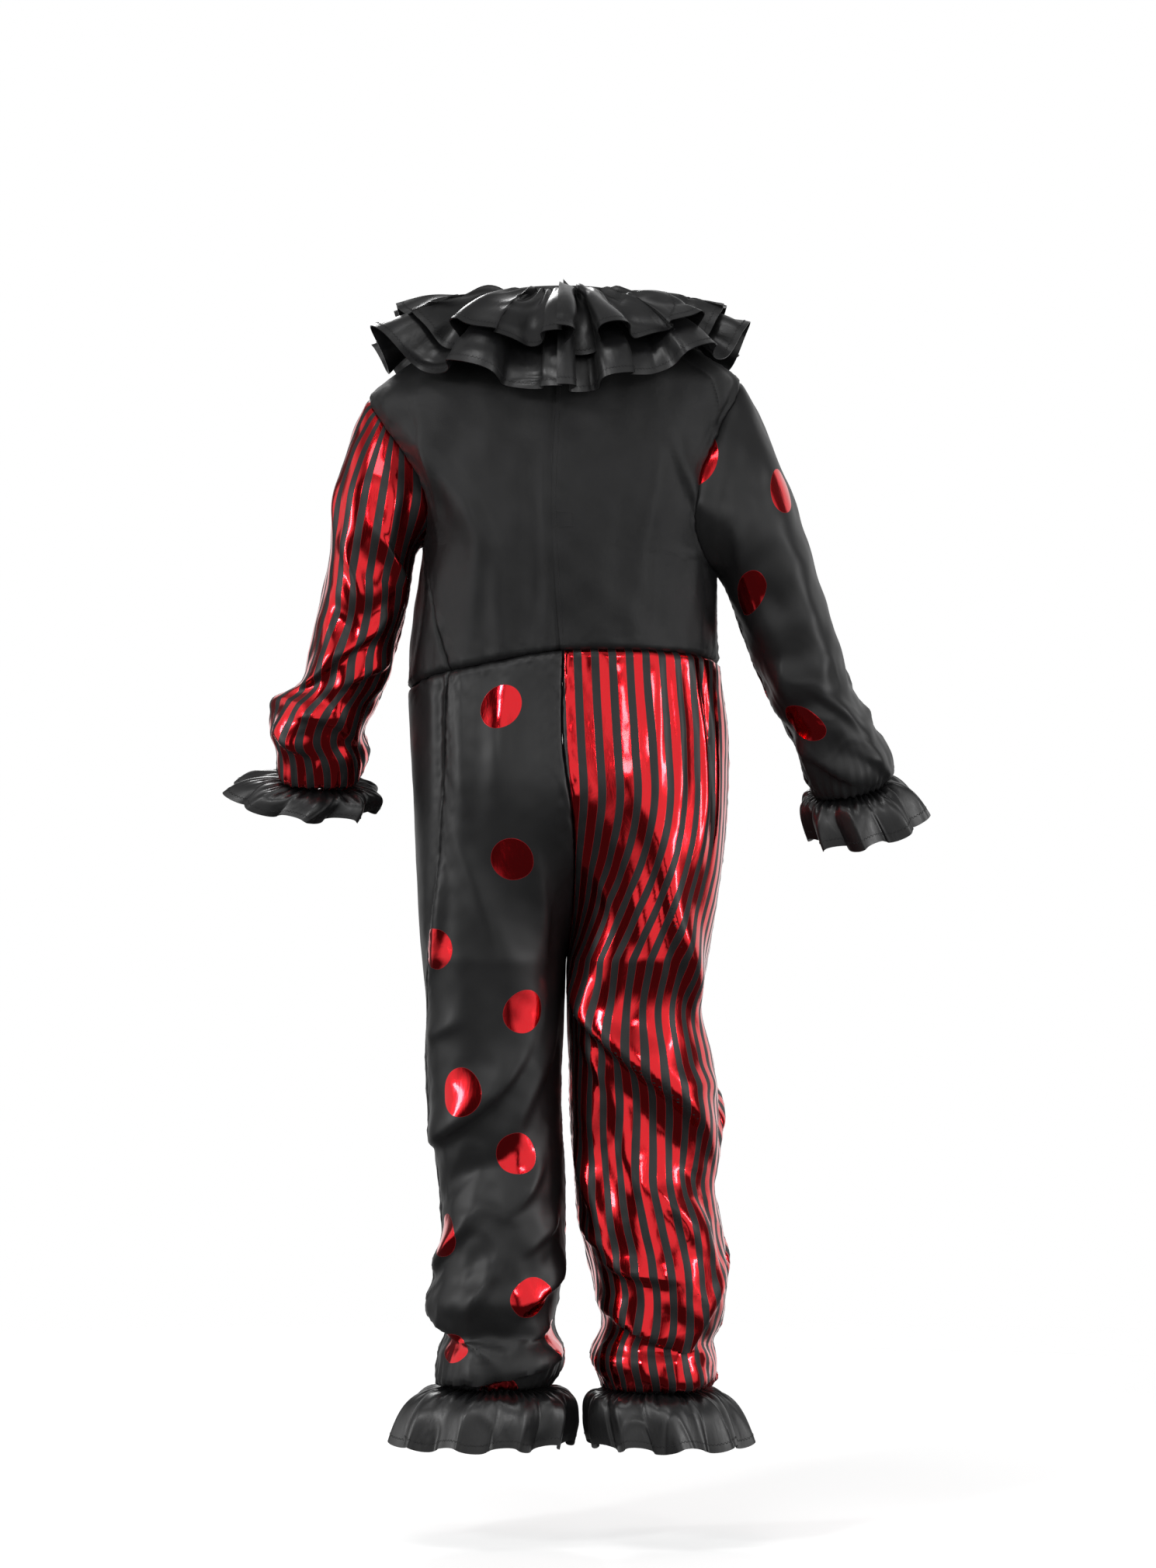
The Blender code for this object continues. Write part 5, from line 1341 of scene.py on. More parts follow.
LEG_BACK_FOLDS = {
    "left": (
        Fold(2, 0.748, 111, 0.670, 0.0115, 0.013, -0.5, -0.016),
        Fold(112, 0.899, 180, 0.843, 0.0075, 0.010, -0.45, 0.002),
        Fold(0, 0.902, 89, 0.943, 0.0070, 0.008, -0.65, 0.004),
        Fold(-4, 0.966, 184, 0.931, 0.0080, 0.008, -0.75, -0.004),
        Fold(106, 0.322, 95, 0.455, 0.0030, 0.012, 0.1, 0.002),
        Fold(84, 0.322, 66, 0.455, -0.0045, 0.007, 0.2, 0.002),
        Fold(64, 0.470, 34, 0.560, -0.0035, 0.007, 0.2, 0.002),
        Fold(140, 0.337, 131, 0.425, 0.0030, 0.012, 0, 0.001),
        Fold(61, 0.505, 31, 0.600, 0.0055, 0.010, 0.2, 0.003),
        Fold(66, 0.810, 0, 0.870, 0.0075, 0.010, 0.5, 0.003),
        Fold(87, 0.852, 68, 0.905, 0.0060, 0.009, 0.3, 0.001),
        Fold(127, 0.768, 91, 0.814, 0.0060, 0.010, 0.4, 0.002),
        Fold(149, 0.490, 133, 0.585, 0.0050, 0.011, 0.2, 0.004),
        Fold(61, 0.950, 92, 0.972, 0.0040, 0.006, -0.3, 0),
        Fold(28, 0.795, 98, 0.764, -0.0050, 0.011, 0, 0.004),
        Fold(100, 0.932, 164, 0.905, 0.0055, 0.009, -0.5, 0.002),
        Fold(86, 0.470, 98, 0.600, 0.0040, 0.013, 0, 0.004),
        Fold(150, 0.640, 96, 0.745, 0.0055, 0.012, 0.3, 0.003),
        Fold(20, 0.655, 60, 0.640, 0.0045, 0.010, -0.3, 0),
        Fold(150, 0.815, 108, 0.845, 0.0050, 0.009, 0.4, 0),
    ),
    "right": (
        Fold(118, 0.469, 29, 0.631, 0.0080, 0.011, -0.5, 0.002),
        Fold(111, 0.313, 118, 0.424, 0.0026, 0.006, 0.2, 0),
        Fold(95, 0.315, 98, 0.450, 0.0026, 0.006, 0.2, 0.001),
        Fold(74, 0.315, 66, 0.478, 0.0040, 0.007, -0.4, 0.001),
        Fold(66, 0.318, 54, 0.470, -0.0065, 0.007, 0.2, 0.003),
        Fold(162, 0.601, 28, 0.749, 0.0135, 0.014, -0.55, 0.005),
        Fold(71, 0.545, 17, 0.627, 0.0060, 0.011, -0.4, 0.002),
        Fold(182, 0.889, 30, 0.947, 0.0070, 0.009, -0.55, 0.006),
        Fold(17, 0.856, 67, 0.938, 0.0065, 0.009, 0.4, -0.004),
        Fold(182, 0.942, 144, 0.960, 0.0045, 0.007, -0.4, 0),
        Fold(178, 0.490, 120, 0.547, 0.0050, 0.011, -0.3, 0.002),
        Fold(168, 0.455, 80, 0.583, 0.0055, 0.011, -0.3, 0.004),
        Fold(147, 0.650, 111, 0.703, 0.0060, 0.010, -0.4, 0.001),
        Fold(162, 0.754, 136, 0.814, 0.0065, 0.010, -0.4, 0.002),
        Fold(79, 0.789, 53, 0.842, 0.0065, 0.009, -0.4, 0.001),
        Fold(137, 0.853, 77, 0.869, 0.0065, 0.009, -0.55, -0.003),
        Fold(51, 0.803, 37, 0.870, 0.0055, 0.009, 0.2, 0.002),
        Fold(150, 0.648, 44, 0.790, -0.0055, 0.012, 0, 0.004),
        Fold(110, 0.740, 92, 0.800, 0.0050, 0.011, -0.3, 0.002),
        Fold(20, 0.700, 60, 0.690, 0.0045, 0.010, 0.2, 0),
        Fold(170, 0.820, 128, 0.842, 0.0050, 0.009, -0.4, 0),
        Fold(120, 0.905, 70, 0.925, 0.0050, 0.008, -0.5, 0),
        Fold(100, 0.960, 20, 0.962, 0.0055, 0.007, -0.6, -0.002),
    ),
}


LEG_LOW, LEG_LOW_SPAN = 0.60, 0.25  # a leg's cloth piles up below this drop, fully after the span
INNER_CALM = 0.35  # how much of a fold's height is left at the inner seam below the crotch


def leg_cloth(name, turn, drop):
    """A leg's outer skin as it is worn, and the outward directions."""
    side, end = side_of(name), LEGS[name][-1].drop
    other = "right" if name == "left" else "left"
    folds = LEG_BACK_FOLDS[name] + on_the_front(LEG_BACK_FOLDS[other], 0.006)

    def form(a, b):
        return leg_form(name, a, b)

    inner = ease((180 - np.abs(turn)) / 40)
    joined = ease((drop - CROTCH_DROP) / 0.03)
    calm = inner + INNER_CALM * (1 - inner) * joined
    calm = calm * ease((drop - 0.305) / 0.02) * ease((end - drop) / 0.010)
    safe = np.minimum(drop, end - PLACE_STEP * 1.01)
    moved = folded(form, folds, turn, safe, LEG_RADIUS, side, calm) + form(turn, drop) - form(turn, safe)
    outward = directions(form, turn, safe, side)[0]
    crumple = crumpled(moved, LEG_CRUMPLE, ease((drop - LEG_LOW) / LEG_LOW_SPAN))
    pleats = PLEAT_HEIGHT * gathers(turn, LEG_GATHERS, 2) * np.exp(-(end - drop) / PLEAT_REACH)
    crumple = crumple * ease((drop - 0.300) / 0.03) * (0.3 + 0.7 * inner) * ease((end - drop) / 0.006)
    return moved + outward * (crumple + pleats)[..., None], outward


print(sum(len(folds) for folds in LEG_BACK_FOLDS.values()), "folds on the backs of the legs")

# %% [markdown]
# The right leg is striped and the left one dotted, the other way round from the sleeves. The stripes run
# down the leg along the grain, and the first one at the middle seam is a narrow black one.

# %% The four leg panels

LEG_ROWS, LEG_COLUMNS = 184, 74
LEG_DOTS = (
    (138, 0.358), (130, 0.494), (45.5, 0.574), (114, 0.631), (64, 0.7005), (104.5, 0.758), (34.5, 0.832),
    (120.5, 0.886), (44, 0.935), (151.5, 0.927), (91.5, 0.972),
)
LEG_REPEAT_DOT, FRONT_REPEAT_PLACE = 3, (0.010, 0.055)
MIDDLE_SEAM_ROW, FIRST_STRIPE = 40, 0.0042  # the row where the stripes are set, and the first one's place
LEG_CUT_LENGTH, LEG_CUT_MARGIN = 0.70, 0.02
SEAM_FOOT_DROP = 0.33
# Above a drop of THIGHS_PART the inner seams of the two legs are not sunk but pressed together.
THIGHS_PART, PART_SPAN = 0.690, 0.04
SQUEEZE_DROP, SQUEEZE_SPAN = 0.53, 0.03
PRESSED_WIDTH, THIGH_SQUEEZE = 0.012, 0.0014


def leg_grid(name, face):
    """Turns and drops of a leg panel, from the side seam to the inner seam and down from the waist."""
    inner_turn, waist_line = (180.0, back_waist) if face == "back" else (-180.0, front_waist)
    top_turn, end = along(LEG_SIDE_SEAM[name], SEAM_FOOT_DROP), LEGS[name][-1].drop
    columns = []
    for share in crowded(LEG_COLUMNS):
        trunk_turn = (top_turn + (inner_turn - top_turn) * share) / 2
        if name == "right":
            trunk_turn = 180 - trunk_turn if face == "back" else -180 - trunk_turn
        top = waist_line(trunk_turn)
        drops = top + edge_crowded(end - top, LEG_ROWS, 1, 1)
        seam = along(LEG_SIDE_SEAM[name], drops)
        columns.append(np.stack([seam + (inner_turn - seam) * share, drops], axis=-1))
    return np.stack(columns, axis=1)


def pressed_together(name, drop, worn, outer):
    """The outer skin with its inner seam moved sideways to where it touches the other leg's."""
    from_inner_seam = lengths_along(worn, 1)[:, -1:] - lengths_along(worn, 1)
    pressed = np.exp(-((from_inner_seam / PRESSED_WIDTH) ** 2)) * ease((THIGHS_PART - drop) / PART_SPAN)
    squeeze = -side_of(name) * THIGH_SQUEEZE * ease((drop - SQUEEZE_DROP) / SQUEEZE_SPAN)
    sideways = (worn[..., 0] + squeeze - outer[..., 0]) * pressed
    return outer + points(sideways, 0.0, 0.0)


def leg_finish(name, face, turn, drop, places):
    """The printed cloth of a leg panel, and its slot."""
    if name == "right":
        seam_place = places[MIDDLE_SEAM_ROW, -1, 0]
        return striped_cloth(f"striped_leg_{face}_cloth", seam_place + FIRST_STRIPE), "striped_foil_cloth"
    visible = LEG_DOTS if face == "back" else ()
    placed = [place_on_cut(turn, drop, places, *dot, LEG_RADIUS) for dot in visible]
    origin = placed[LEG_REPEAT_DOT] if placed else FRONT_REPEAT_PLACE
    centres = dots(places, placed, origin, np.abs(turn - LEG_SHOWS) < SHOWN_REACH)
    return dotted_cloth(f"dotted_leg_{face}_cloth", centres), "dotted_foil_cloth"


for name in LEGS:
    for face in ("back", "front"):
        grid = leg_grid(name, face)
        turn, drop = grid[..., 0], grid[..., 1]
        worn, outward = leg_cloth(name, turn, drop)
        outer = sewn(worn, outward, ("first_row", "first_column", "last_column", "last_row"), 51)
        outer = pressed_together(name, drop, worn, outer)
        places = cut_places(outer, LEG_COLUMNS * 3 // 5, 14)
        finish, slot = leg_finish(name, face, turn, drop, places)
        leg = shell(f"leg_{name}_{face}_cloth", outer, -outward, CLOTH, places, False, finish, wrong_side)
        wide = float(np.ptp(places[..., 0])) + LEG_CUT_MARGIN
        enter(leg, (round(wide, 2), LEG_CUT_LENGTH))
        print(name, face, "area", round(area_of(outer, False), 4), "of", round(wide * LEG_CUT_LENGTH, 4))

# %% [markdown]
# ## Neckband and ruffle
# The ruffle is two long strips of satin that are gathered onto a narrow band. Their hems are more than three
# times as long as the neckline, so they have to run up and down in flutes. A cloth simulation would find
# such flutes, but other ones each time. So here a strip is swept round the neck at its own slope, and waves
# are laid on it: one set on both tiers and a second, narrower one on the upper tier. Where a wave also
# swings sideways, its flanks lean over and it becomes a tube.

# %% The form of the band and of the ruffle's flutes

BAND_LIFT = 0.0008
BAND_HEIGHT, BAND_CUT_HEIGHT = 0.009, 0.012
BAND_WALL = 0.0018
BAND_LEAN = 0.001
BAND_OPENING = 1.2  # degrees from the middle of the back to each end
BAND_CORNER = 0.006  # how much higher the corner at the band's last end stands
BAND_CORNER_SPAN = 6.0
BAND_BULGE, BAND_RIPPLE, BAND_RIPPLE_SIZE = 0.0005, 0.00018, 0.010
BAND_COLUMNS, BAND_ROWS = 180, 8

Spread = namedtuple("Spread", "turn start_slope end_slope length")
RUFF = {
    "lower": (
        Spread(-225, 14, 48, 0.118),
        Spread(-180, 12, 24, 0.112),
        Spread(-135, 14, 54, 0.118),
        Spread(-90, 26, 70, 0.112),
        Spread(-45, 14, 54, 0.118),
        Spread(0, 14, 26, 0.120),
        Spread(45, 14, 52, 0.120),
        Spread(90, 26, 80, 0.118),
        Spread(135, 14, 48, 0.118),
        Spread(180, 12, 24, 0.112),
        Spread(225, 14, 54, 0.118),
    ),
    "upper": (
        Spread(-225, 4, 38, 0.096),
        Spread(-180, 2, 20, 0.090),
        Spread(-135, 2, 38, 0.094),
        Spread(-90, 12, 52, 0.090),
        Spread(-45, 2, 38, 0.094),
        Spread(0, 5, 20, 0.094),
        Spread(45, 5, 40, 0.096),
        Spread(90, 12, 56, 0.094),
        Spread(135, 4, 38, 0.096),
        Spread(180, 2, 20, 0.090),
        Spread(225, 2, 38, 0.094),
    ),
}
RUFF_LIFT = {"lower": 0.0022, "upper": 0.0062}
WIDE_CRESTS = (-271, -250, -220, -184, -152, -118, -84, -50, -16, 20, 57, 89)
NARROW_CRESTS = (
    -270.5, -253, -233, -213, -194, -175, -155, -134, -113, -92,
    -71, -50, -29, -9, 11, 31, 50, 68.5, 89.5,
)
Flutes = namedtuple("Flutes", "crests root_height hem_height swing distance")
WIDE_FLUTES = Flutes(WIDE_CRESTS, 0.0008, 0.0175, 0.0070, 0.118)
NARROW_FLUTES = Flutes(NARROW_CRESTS, 0.0003, 0.0070, 0.0034, 0.094)
UPPER_SHARE = 0.93
SIDE_FULLNESS = 0.2  # how much higher the flutes stand over the shoulders
FLUTE_GROWTH = 0.85
UNEVEN = ((0.22, 2.3, 40), (0.14, 5.1, 0))
LAP_TURN = 1.8  # degrees by which the ruffle's right end lies over its left one


def band_point(turn, up):
    foot = trunk_form(turn, neckline(turn)) + points(0.0, 0.0, BAND_LIFT)
    inward = -unit(foot * np.array([1.0, 1.0, 0.0]))
    corner = BAND_CORNER * np.clip(1 - (turn - (-270 + BAND_OPENING)) / BAND_CORNER_SPAN, 0, 1)
    return foot + inward * (BAND_LEAN * up)[..., None] + points(0.0, 0.0, (BAND_HEIGHT + corner) * up)


def flute(flutes, turn, distance):
    """Rise and sideways swing of a set of flutes at a turn and a distance from the band."""
    phase = along([(crest, 360.0 * k) for k, crest in enumerate(flutes.crests)], turn)
    uneven = 1 + SIDE_FULLNESS * cosd(2 * turn)
    uneven = uneven + sum(size * sind(pace * turn + start) for size, pace, start in UNEVEN)
    grown = (distance / flutes.distance) ** FLUTE_GROWTH
    height = flutes.root_height + (flutes.hem_height - flutes.root_height) * grown
    return height * uneven * cosd(phase), flutes.swing * grown * sind(2 * phase)


def ruff_form(tier, turn, out):
    """One tier without its small creases. out runs from 0 at the band to 1 at the hem."""
    start_slope, end_slope, length = np.moveaxis(through(RUFF[tier], (turn + 180) % 360 - 180), -1, 0)
    start, end = np.radians(start_slope), np.radians(end_slope)
    slope = start + (end - start) * out
    reach = length * (np.sin(slope) - np.sin(start)) / (end - start)
    fall = length * (np.cos(start) - np.cos(slope)) / (end - start)
    root = trunk_form(turn, neckline(turn)) + points(0.0, 0.0, BAND_LIFT + RUFF_LIFT[tier])
    away = unit(root * np.array([1.0, 1.0, 0.0]))
    aside = np.cross((0.0, 0.0, 1.0), away)
    wave, swing = flute(WIDE_FLUTES, turn, length * out)
    if tier == "upper":
        narrow_wave, narrow_swing = flute(NARROW_FLUTES, turn, length * out)
        wave, swing = UPPER_SHARE * wave + narrow_wave, UPPER_SHARE * swing + narrow_swing
    lift = away * (np.sin(slope) * wave)[..., None] + points(0.0, 0.0, np.cos(slope) * wave)
    swept = root + away * (SEAM_GAP + reach)[..., None] + points(0.0, 0.0, -fall)
    return swept + lift + aside * swing[..., None]


band_columns = np.linspace(90 - BAND_OPENING, -270 + BAND_OPENING, BAND_COLUMNS + 1)
turn, up = np.meshgrid(band_columns, np.linspace(0, 1, BAND_ROWS + 1))
outer = band_point(turn, up)
bulge = BAND_BULGE * np.sin(np.pi * up) + BAND_RIPPLE * ripples(outer, BAND_RIPPLE_SIZE, 61)
outer = outer + unit(outer * np.array([1.0, 1.0, 0.0])) * bulge[..., None]
inward = -unit(outer * np.array([1.0, 1.0, 0.0]))
places = cut_places(outer, BAND_COLUMNS // 2, 2)
neckband = shell("neckband_cloth", outer, inward, BAND_WALL, places, False, black_satin, black_satin)
band_length = float(places[0, -1, 0] - places[0, 0, 0])
enter(neckband, (round(abs(band_length), 3), BAND_CUT_HEIGHT))

# %% [markdown]
# Close to the band the strip is drawn up into many tight little gathers. They run together outwards until
# only the flutes are left. The strip is also dented where it was folded in its bag, and the hem is turned
# under once and held by a zigzag, so the cloth is thicker there. One function makes all of these for any
# gathered strip.

# %% Gathers, dents and hems of a satin strip

HEM_WIDTH = 0.006
HEM_WALL = 0.0009
GATHER_PITCH = 0.0056
ZIGZAG_PITCH, ZIGZAG_SWING, ZIGZAG_LIFT = 0.0017, 0.0009, 0.00015

Gather = namedtuple("Gather", "height reach dent")
RUFFLE_GATHER = Gather(0.0018, 0.031, 0.0014)
FRILL_GATHER = Gather(0.0011, 0.014, 0.0007)


def strip_cloth(form, side, along_band, distance, seed, gather):
    """The strip's outer skin and outward directions.

    along_band and distance say how far round and how far out a point is. Added to the form are the tight
    gathers at the band, softer ones twice as wide, the dents and pinches of a strip that was folded up, and
    the rays that run out from the gathers.
    """
    outward = unit(np.cross(np.gradient(form, axis=0), np.gradient(form, axis=1))) * side
    band = points(along_band, 0 * along_band, 0 * along_band)
    flat = points(along_band, distance, 0 * distance)
    fanned = points(along_band, 0.22 * distance, 0 * distance)
    pace = along_band / GATHER_PITCH * 2 * np.pi + 2.2 * ripples(band, 0.05, seed)
    high = gather.height * (1 + 0.35 * ripples(band, 0.03, seed + 1))
    tight = high * np.cos(pace) * np.exp(-((distance / gather.reach) ** 2))
    tight = tight * (1 + 0.5 * ease(distance / 0.012))
    soft = 0.9 * gather.height * np.cos(pace / 2 + 1) * np.exp(-((distance / (2.0 * gather.reach)) ** 2))
    dents = gather.dent * ripples(flat, 0.042, seed + 2, (0.6, 1.6, 1)) * ease(distance / 0.03)
    pinches = gather.dent * 1.3 * creases(flat, 0.050, seed + 3, (0.6, 2.0, 1)) * ease(distance / 0.02)
    rays = gather.dent * ripples(fanned, 0.013, seed + 4) * ease(distance / 0.02)
    rays = rays * np.exp(-((distance / (3.2 * gather.reach)) ** 2))
    raised = tight + soft * ease(distance / 0.01) + dents + pinches + rays
    return form + outward * raised[..., None], outward


def hem_wall(distance, end):
    """Thickness of a strip whose last few millimetres are turned under."""
    return SATIN + (HEM_WALL - SATIN) * ease((distance - (end - HEM_WIDTH)) / 0.0008)


def zigzag(name, outer, outward, distance, end):
    """A zigzag along the top of the turned hem, as one mesh."""
    row = int(np.argmin(np.abs(distance[:, 0] - (end - HEM_WIDTH * 0.8))))
    line = outer[row] + outward[row] * ZIGZAG_LIFT
    return stitch_row(name, line, outward[row], ZIGZAG_PITCH, 0.1, ZIGZAG_SWING)


print("hem", HEM_WIDTH * 1000, "mm, zigzag every", ZIGZAG_PITCH * 1000, "mm")

# %% [markdown]
# The strips are not long enough in one length of cloth, so each is joined from shorter ones. The joins run
# askew from the band to the hem, with a groove and a zigzag of their own.

# %% The two tiers

RUFF_COLUMNS = 900
RUFF_ROWS = {"lower": 36, "upper": 28}
JOINS = {  # turn at the band and at the hem
    "lower": ((-118, -104), (3, 10), (-215, -226)),
    "upper": ((30, 52), (-200, -226), (-70, -84)),
}
JOIN_DEPTH, JOIN_WIDTH = 0.0005, 0.5  # the groove's depth in metres and its width in degrees
JOIN_PITCH, JOIN_SWING, JOIN_LIFT = 0.0018, 0.0010, 0.0006
LAP_LIFT, LAP_START, LAP_SPAN = 0.0012, -262, 8  # the end that lies on top rises from this turn on


def join_groove(turn, out, joins):
    """0 on the cloth and 1 in the middle of a join."""
    depth = 0.0
    for at_band, at_hem in joins:
        away = (turn - (at_band + (at_hem - at_band) * out)) / JOIN_WIDTH
        depth = depth + np.exp(-(away**2))
    return depth


def join_stitches(name, join, turns, outs, gathered, outward):
    """The zigzag over one join, from near the band to near the hem."""
    at_band, at_hem = join
    line, up_line = [], []
    for row in range(2, len(outs) - 2):
        column = np.interp(-(at_band + (at_hem - at_band) * outs[row]), -turns, np.arange(len(turns)))
        column = int(round(float(column)))
        line.append(gathered[row, column] + outward[row, column] * JOIN_LIFT)
        up_line.append(outward[row, column])
    return stitch_row(name, np.array(line), np.array(up_line), JOIN_PITCH, 0.1, JOIN_SWING)


for seed, tier in ((71, "lower"), (81, "upper")):
    turns = np.linspace(90, -270 - LAP_TURN, RUFF_COLUMNS + 1)
    outs = edge_crowded(1.0, RUFF_ROWS[tier], 0.6, 0.9)
    turn, out = np.meshgrid(turns, outs)
    form = ruff_form(tier, turn, out)
    length = along([(row.turn, row.length) for row in RUFF[tier]], (turn + 180) % 360 - 180)
    # The strip is cut as long as its hem. Its gathers are counted at the band, where it is short.
    cut_along, band_along = (np.broadcast_to(line_lengths(form[row]), out.shape) for row in (-1, 0))
    end = float(length.mean())
    distance = out * end
    gathered, outward = strip_cloth(form, 1, band_along, distance, seed, RUFFLE_GATHER)
    outward = np.where(np.mean(outward[..., 2]) < 0, -outward, outward)
    lapped = ease((LAP_START - turn) / LAP_SPAN)  # 1 at the end that lies on top
    rise = LAP_LIFT * lapped - JOIN_DEPTH * join_groove(turn, out, JOINS[tier])
    gathered = gathered + outward * rise[..., None]
    places = points(cut_along, distance, 0 * distance)[..., :2]
    ruffle = shell(f"neck_ruffle_{tier}_cloth", gathered, -outward, hem_wall(distance, end), places, False,
                   black_satin, black_satin)
    rows = [zigzag(f"ruffle_{tier}_hem_stitches", gathered, outward, distance, end)]
    for k, join in enumerate(JOINS[tier]):
        rows.append(join_stitches(f"ruffle_{tier}_join_{k}_stitches", join, turns, outs, gathered, outward))
    hem_length = float(cut_along[0, -1])
    enter(ruffle, (round(hem_length, 2), round(end, 3)), rows)
    print(tier, "tier: hem", round(hem_length, 3), "m, area", round(area_of(gathered, False), 4))

# %% [markdown]
# ## Frills at the wrists and the ankles
# The four frills are the same strip again, closed into a ring and gathered onto the end of a sleeve or a
# leg. A frill's hem ring is given by where its outer and inner edge lie, as for the sleeves.

# %% The four frills

Hem = namedtuple("Hem", "outer outer_drop inner inner_drop half_depth back tip waves wave")
CUFF_FRILLS = {
    "left": Hem(0.300, 0.436, 0.175, 0.450, 0.056, -0.024, 17, 9, 0.0080),
    "right": Hem(0.327, 0.456, 0.228, 0.475, 0.054, -0.020, 20, 9, 0.0075),
}
ANKLE_FRILLS = {
    "left": Hem(0.151, 1.0235, -0.0085, 1.0235, 0.079, 0.012, 0, 11, 0.0060),
    "right": Hem(0.168, 1.0240, 0.0270, 1.0240, 0.077, 0.012, 0, 10, 0.0060),
}
GATHER_WAVE = 0.0010
HEM_LIFT = 0.0030
LEVEL_START, HANG = 2.6, 1.9  # powers by which a frill leaves its ring almost level and then hangs
FRILL_SWING = 0.0018
MEETING_SPAN = 12  # degrees from a frill's own join over which its gathers die away


def frill_form(start_ring, hem, side, turn, out):
    """A frill without its gathers. out runs from 0 at the ring that it is sewn to, to 1 at its hem."""
    centre, sideways, backward = start_ring
    end_centre = points(side * (hem.outer + hem.inner) / 2, hem.back, -(hem.outer_drop + hem.inner_drop) / 2)
    end_sideways = points(side * (hem.outer - hem.inner) / 2, 0.0, (hem.inner_drop - hem.outer_drop) / 2)
    end_backward = points(0.0, hem.half_depth * cosd(hem.tip), -hem.half_depth * sind(hem.tip))
    flare, along_it = (1 - (1 - out) ** LEVEL_START)[..., None], (out**HANG)[..., None]
    phase = hem.waves * (turn + 5 * sind(2 * turn + 30))
    swing = np.degrees(FRILL_SWING * out / hem.half_depth) * sind(2 * phase)
    c, s = cosd(turn + swing)[..., None], sind(turn + swing)[..., None]
    arm = (sideways + (end_sideways - sideways) * flare) * c
    arm = arm + (backward + (end_backward - backward) * flare) * s
    reach = np.linalg.norm(arm, axis=-1)
    wave = (GATHER_WAVE + (hem.wave - GATHER_WAVE) * out**0.9) * sind(phase) * (1 + 0.2 * sind(3 * turn + 70))
    rise = HEM_LIFT * out**2 * sind(phase + 60)
    middle = centre + (end_centre - centre) * along_it
    return middle + arm * (1 + wave / reach)[..., None] + points(0.0, 0.0, rise)


def wrist_ring(name):
    centre, sideways, backward = sleeve_ring(name, np.array(len(SLEEVES[name]) - 1.0))
    axis = unit(np.cross(sideways, backward)) * SEAM_GAP
    return centre + (-axis if axis[2] > 0 else axis), sideways, backward


def ankle_ring(name):
    ankle, side = LEGS[name][-1], side_of(name)
    middle = side * (ankle.outer + ankle.inner) / 2
    centre = points(middle, (ankle.back - ankle.front) / 2, -ankle.drop - SEAM_GAP)
    sideways = points(side * (ankle.outer - ankle.inner) / 2, 0.0, 0.0)
    return centre, sideways, points(0.0, (ankle.back + ankle.front) / 2, 0.0)


FRILL_COLUMNS, FRILL_ROWS = {"cuff": 400, "ankle": 480}, 22
for kind, hems, ring_of in (("cuff", CUFF_FRILLS, wrist_ring), ("ankle", ANKLE_FRILLS, ankle_ring)):
    for seed, (name, hem) in enumerate(hems.items(), 91 if kind == "cuff" else 101):
        side = side_of(name)
        turns = np.linspace(0, 360, FRILL_COLUMNS[kind] + 1)
        outs = edge_crowded(1.0, FRILL_ROWS, 0.6, 0.9)
        turn, out = np.meshgrid(turns, outs)
        form = frill_form(ring_of(name), hem, side, turn, out)
        hem_along, rim_along = (np.broadcast_to(line_lengths(form[row]), out.shape) for row in (-1, 0))
        end = float(lengths_along(form, 0)[-1].mean())
        distance = out * end
        # The gathers die away at the join, so that the ring's first and last column meet.
        meeting = ease(np.minimum(turn, 360 - turn) / MEETING_SPAN)
        made, outward = strip_cloth(form, side, rim_along, distance, seed, FRILL_GATHER)
        radial = form - ring_of(name)[0]
        outward = outward * np.sign(np.sum(outward * radial, axis=-1).mean())
        made = form + (made - form) * meeting[..., None]
        edge = (distance < 1e-6)[..., None]
        sink = SEAM_DEPTH * np.exp(-((distance / SEAM_WIDTH) ** 2))[..., None] + TUCK * edge
        made = made - unit(radial) * sink + points(0.0, 0.0, TUCK) * edge
        made, outward = made[:, :-1], outward[:, :-1]
        places = points(hem_along, distance, 0 * distance)[..., :2]
        wall = hem_wall(distance, end)[:, :-1]
        frill = shell(f"{kind}_frill_{name}_cloth", made, -outward, wall, places, True,
                      black_satin, black_satin)
        closed_line = [np.concatenate([grid, grid[:, :1]], axis=1) for grid in (made, outward)]
        stitches = zigzag(f"{kind}_frill_{name}_stitches", *closed_line, distance, end)
        flat = (round(float(hem_along[0, -1]), 3), round(end, 3))
        enter(frill, flat, (stitches,))
        print(name, kind, "frill: area", round(area_of(made, True), 4), "of", round(flat[0] * flat[1], 4))

# %% [markdown]
# ## Floor, light and camera
# A worn suit shows its cloth best in soft light. Large lamps stand behind and beside it and make the wide
# grey bands on the satin and the white glints on the foil. Between them the room is left darker, and the
# foil turns deep red there. The world behind is a plain near white. A gradient backdrop could be built, but
# its edges would have to be hidden, while the world has none.

# %% Floor and world

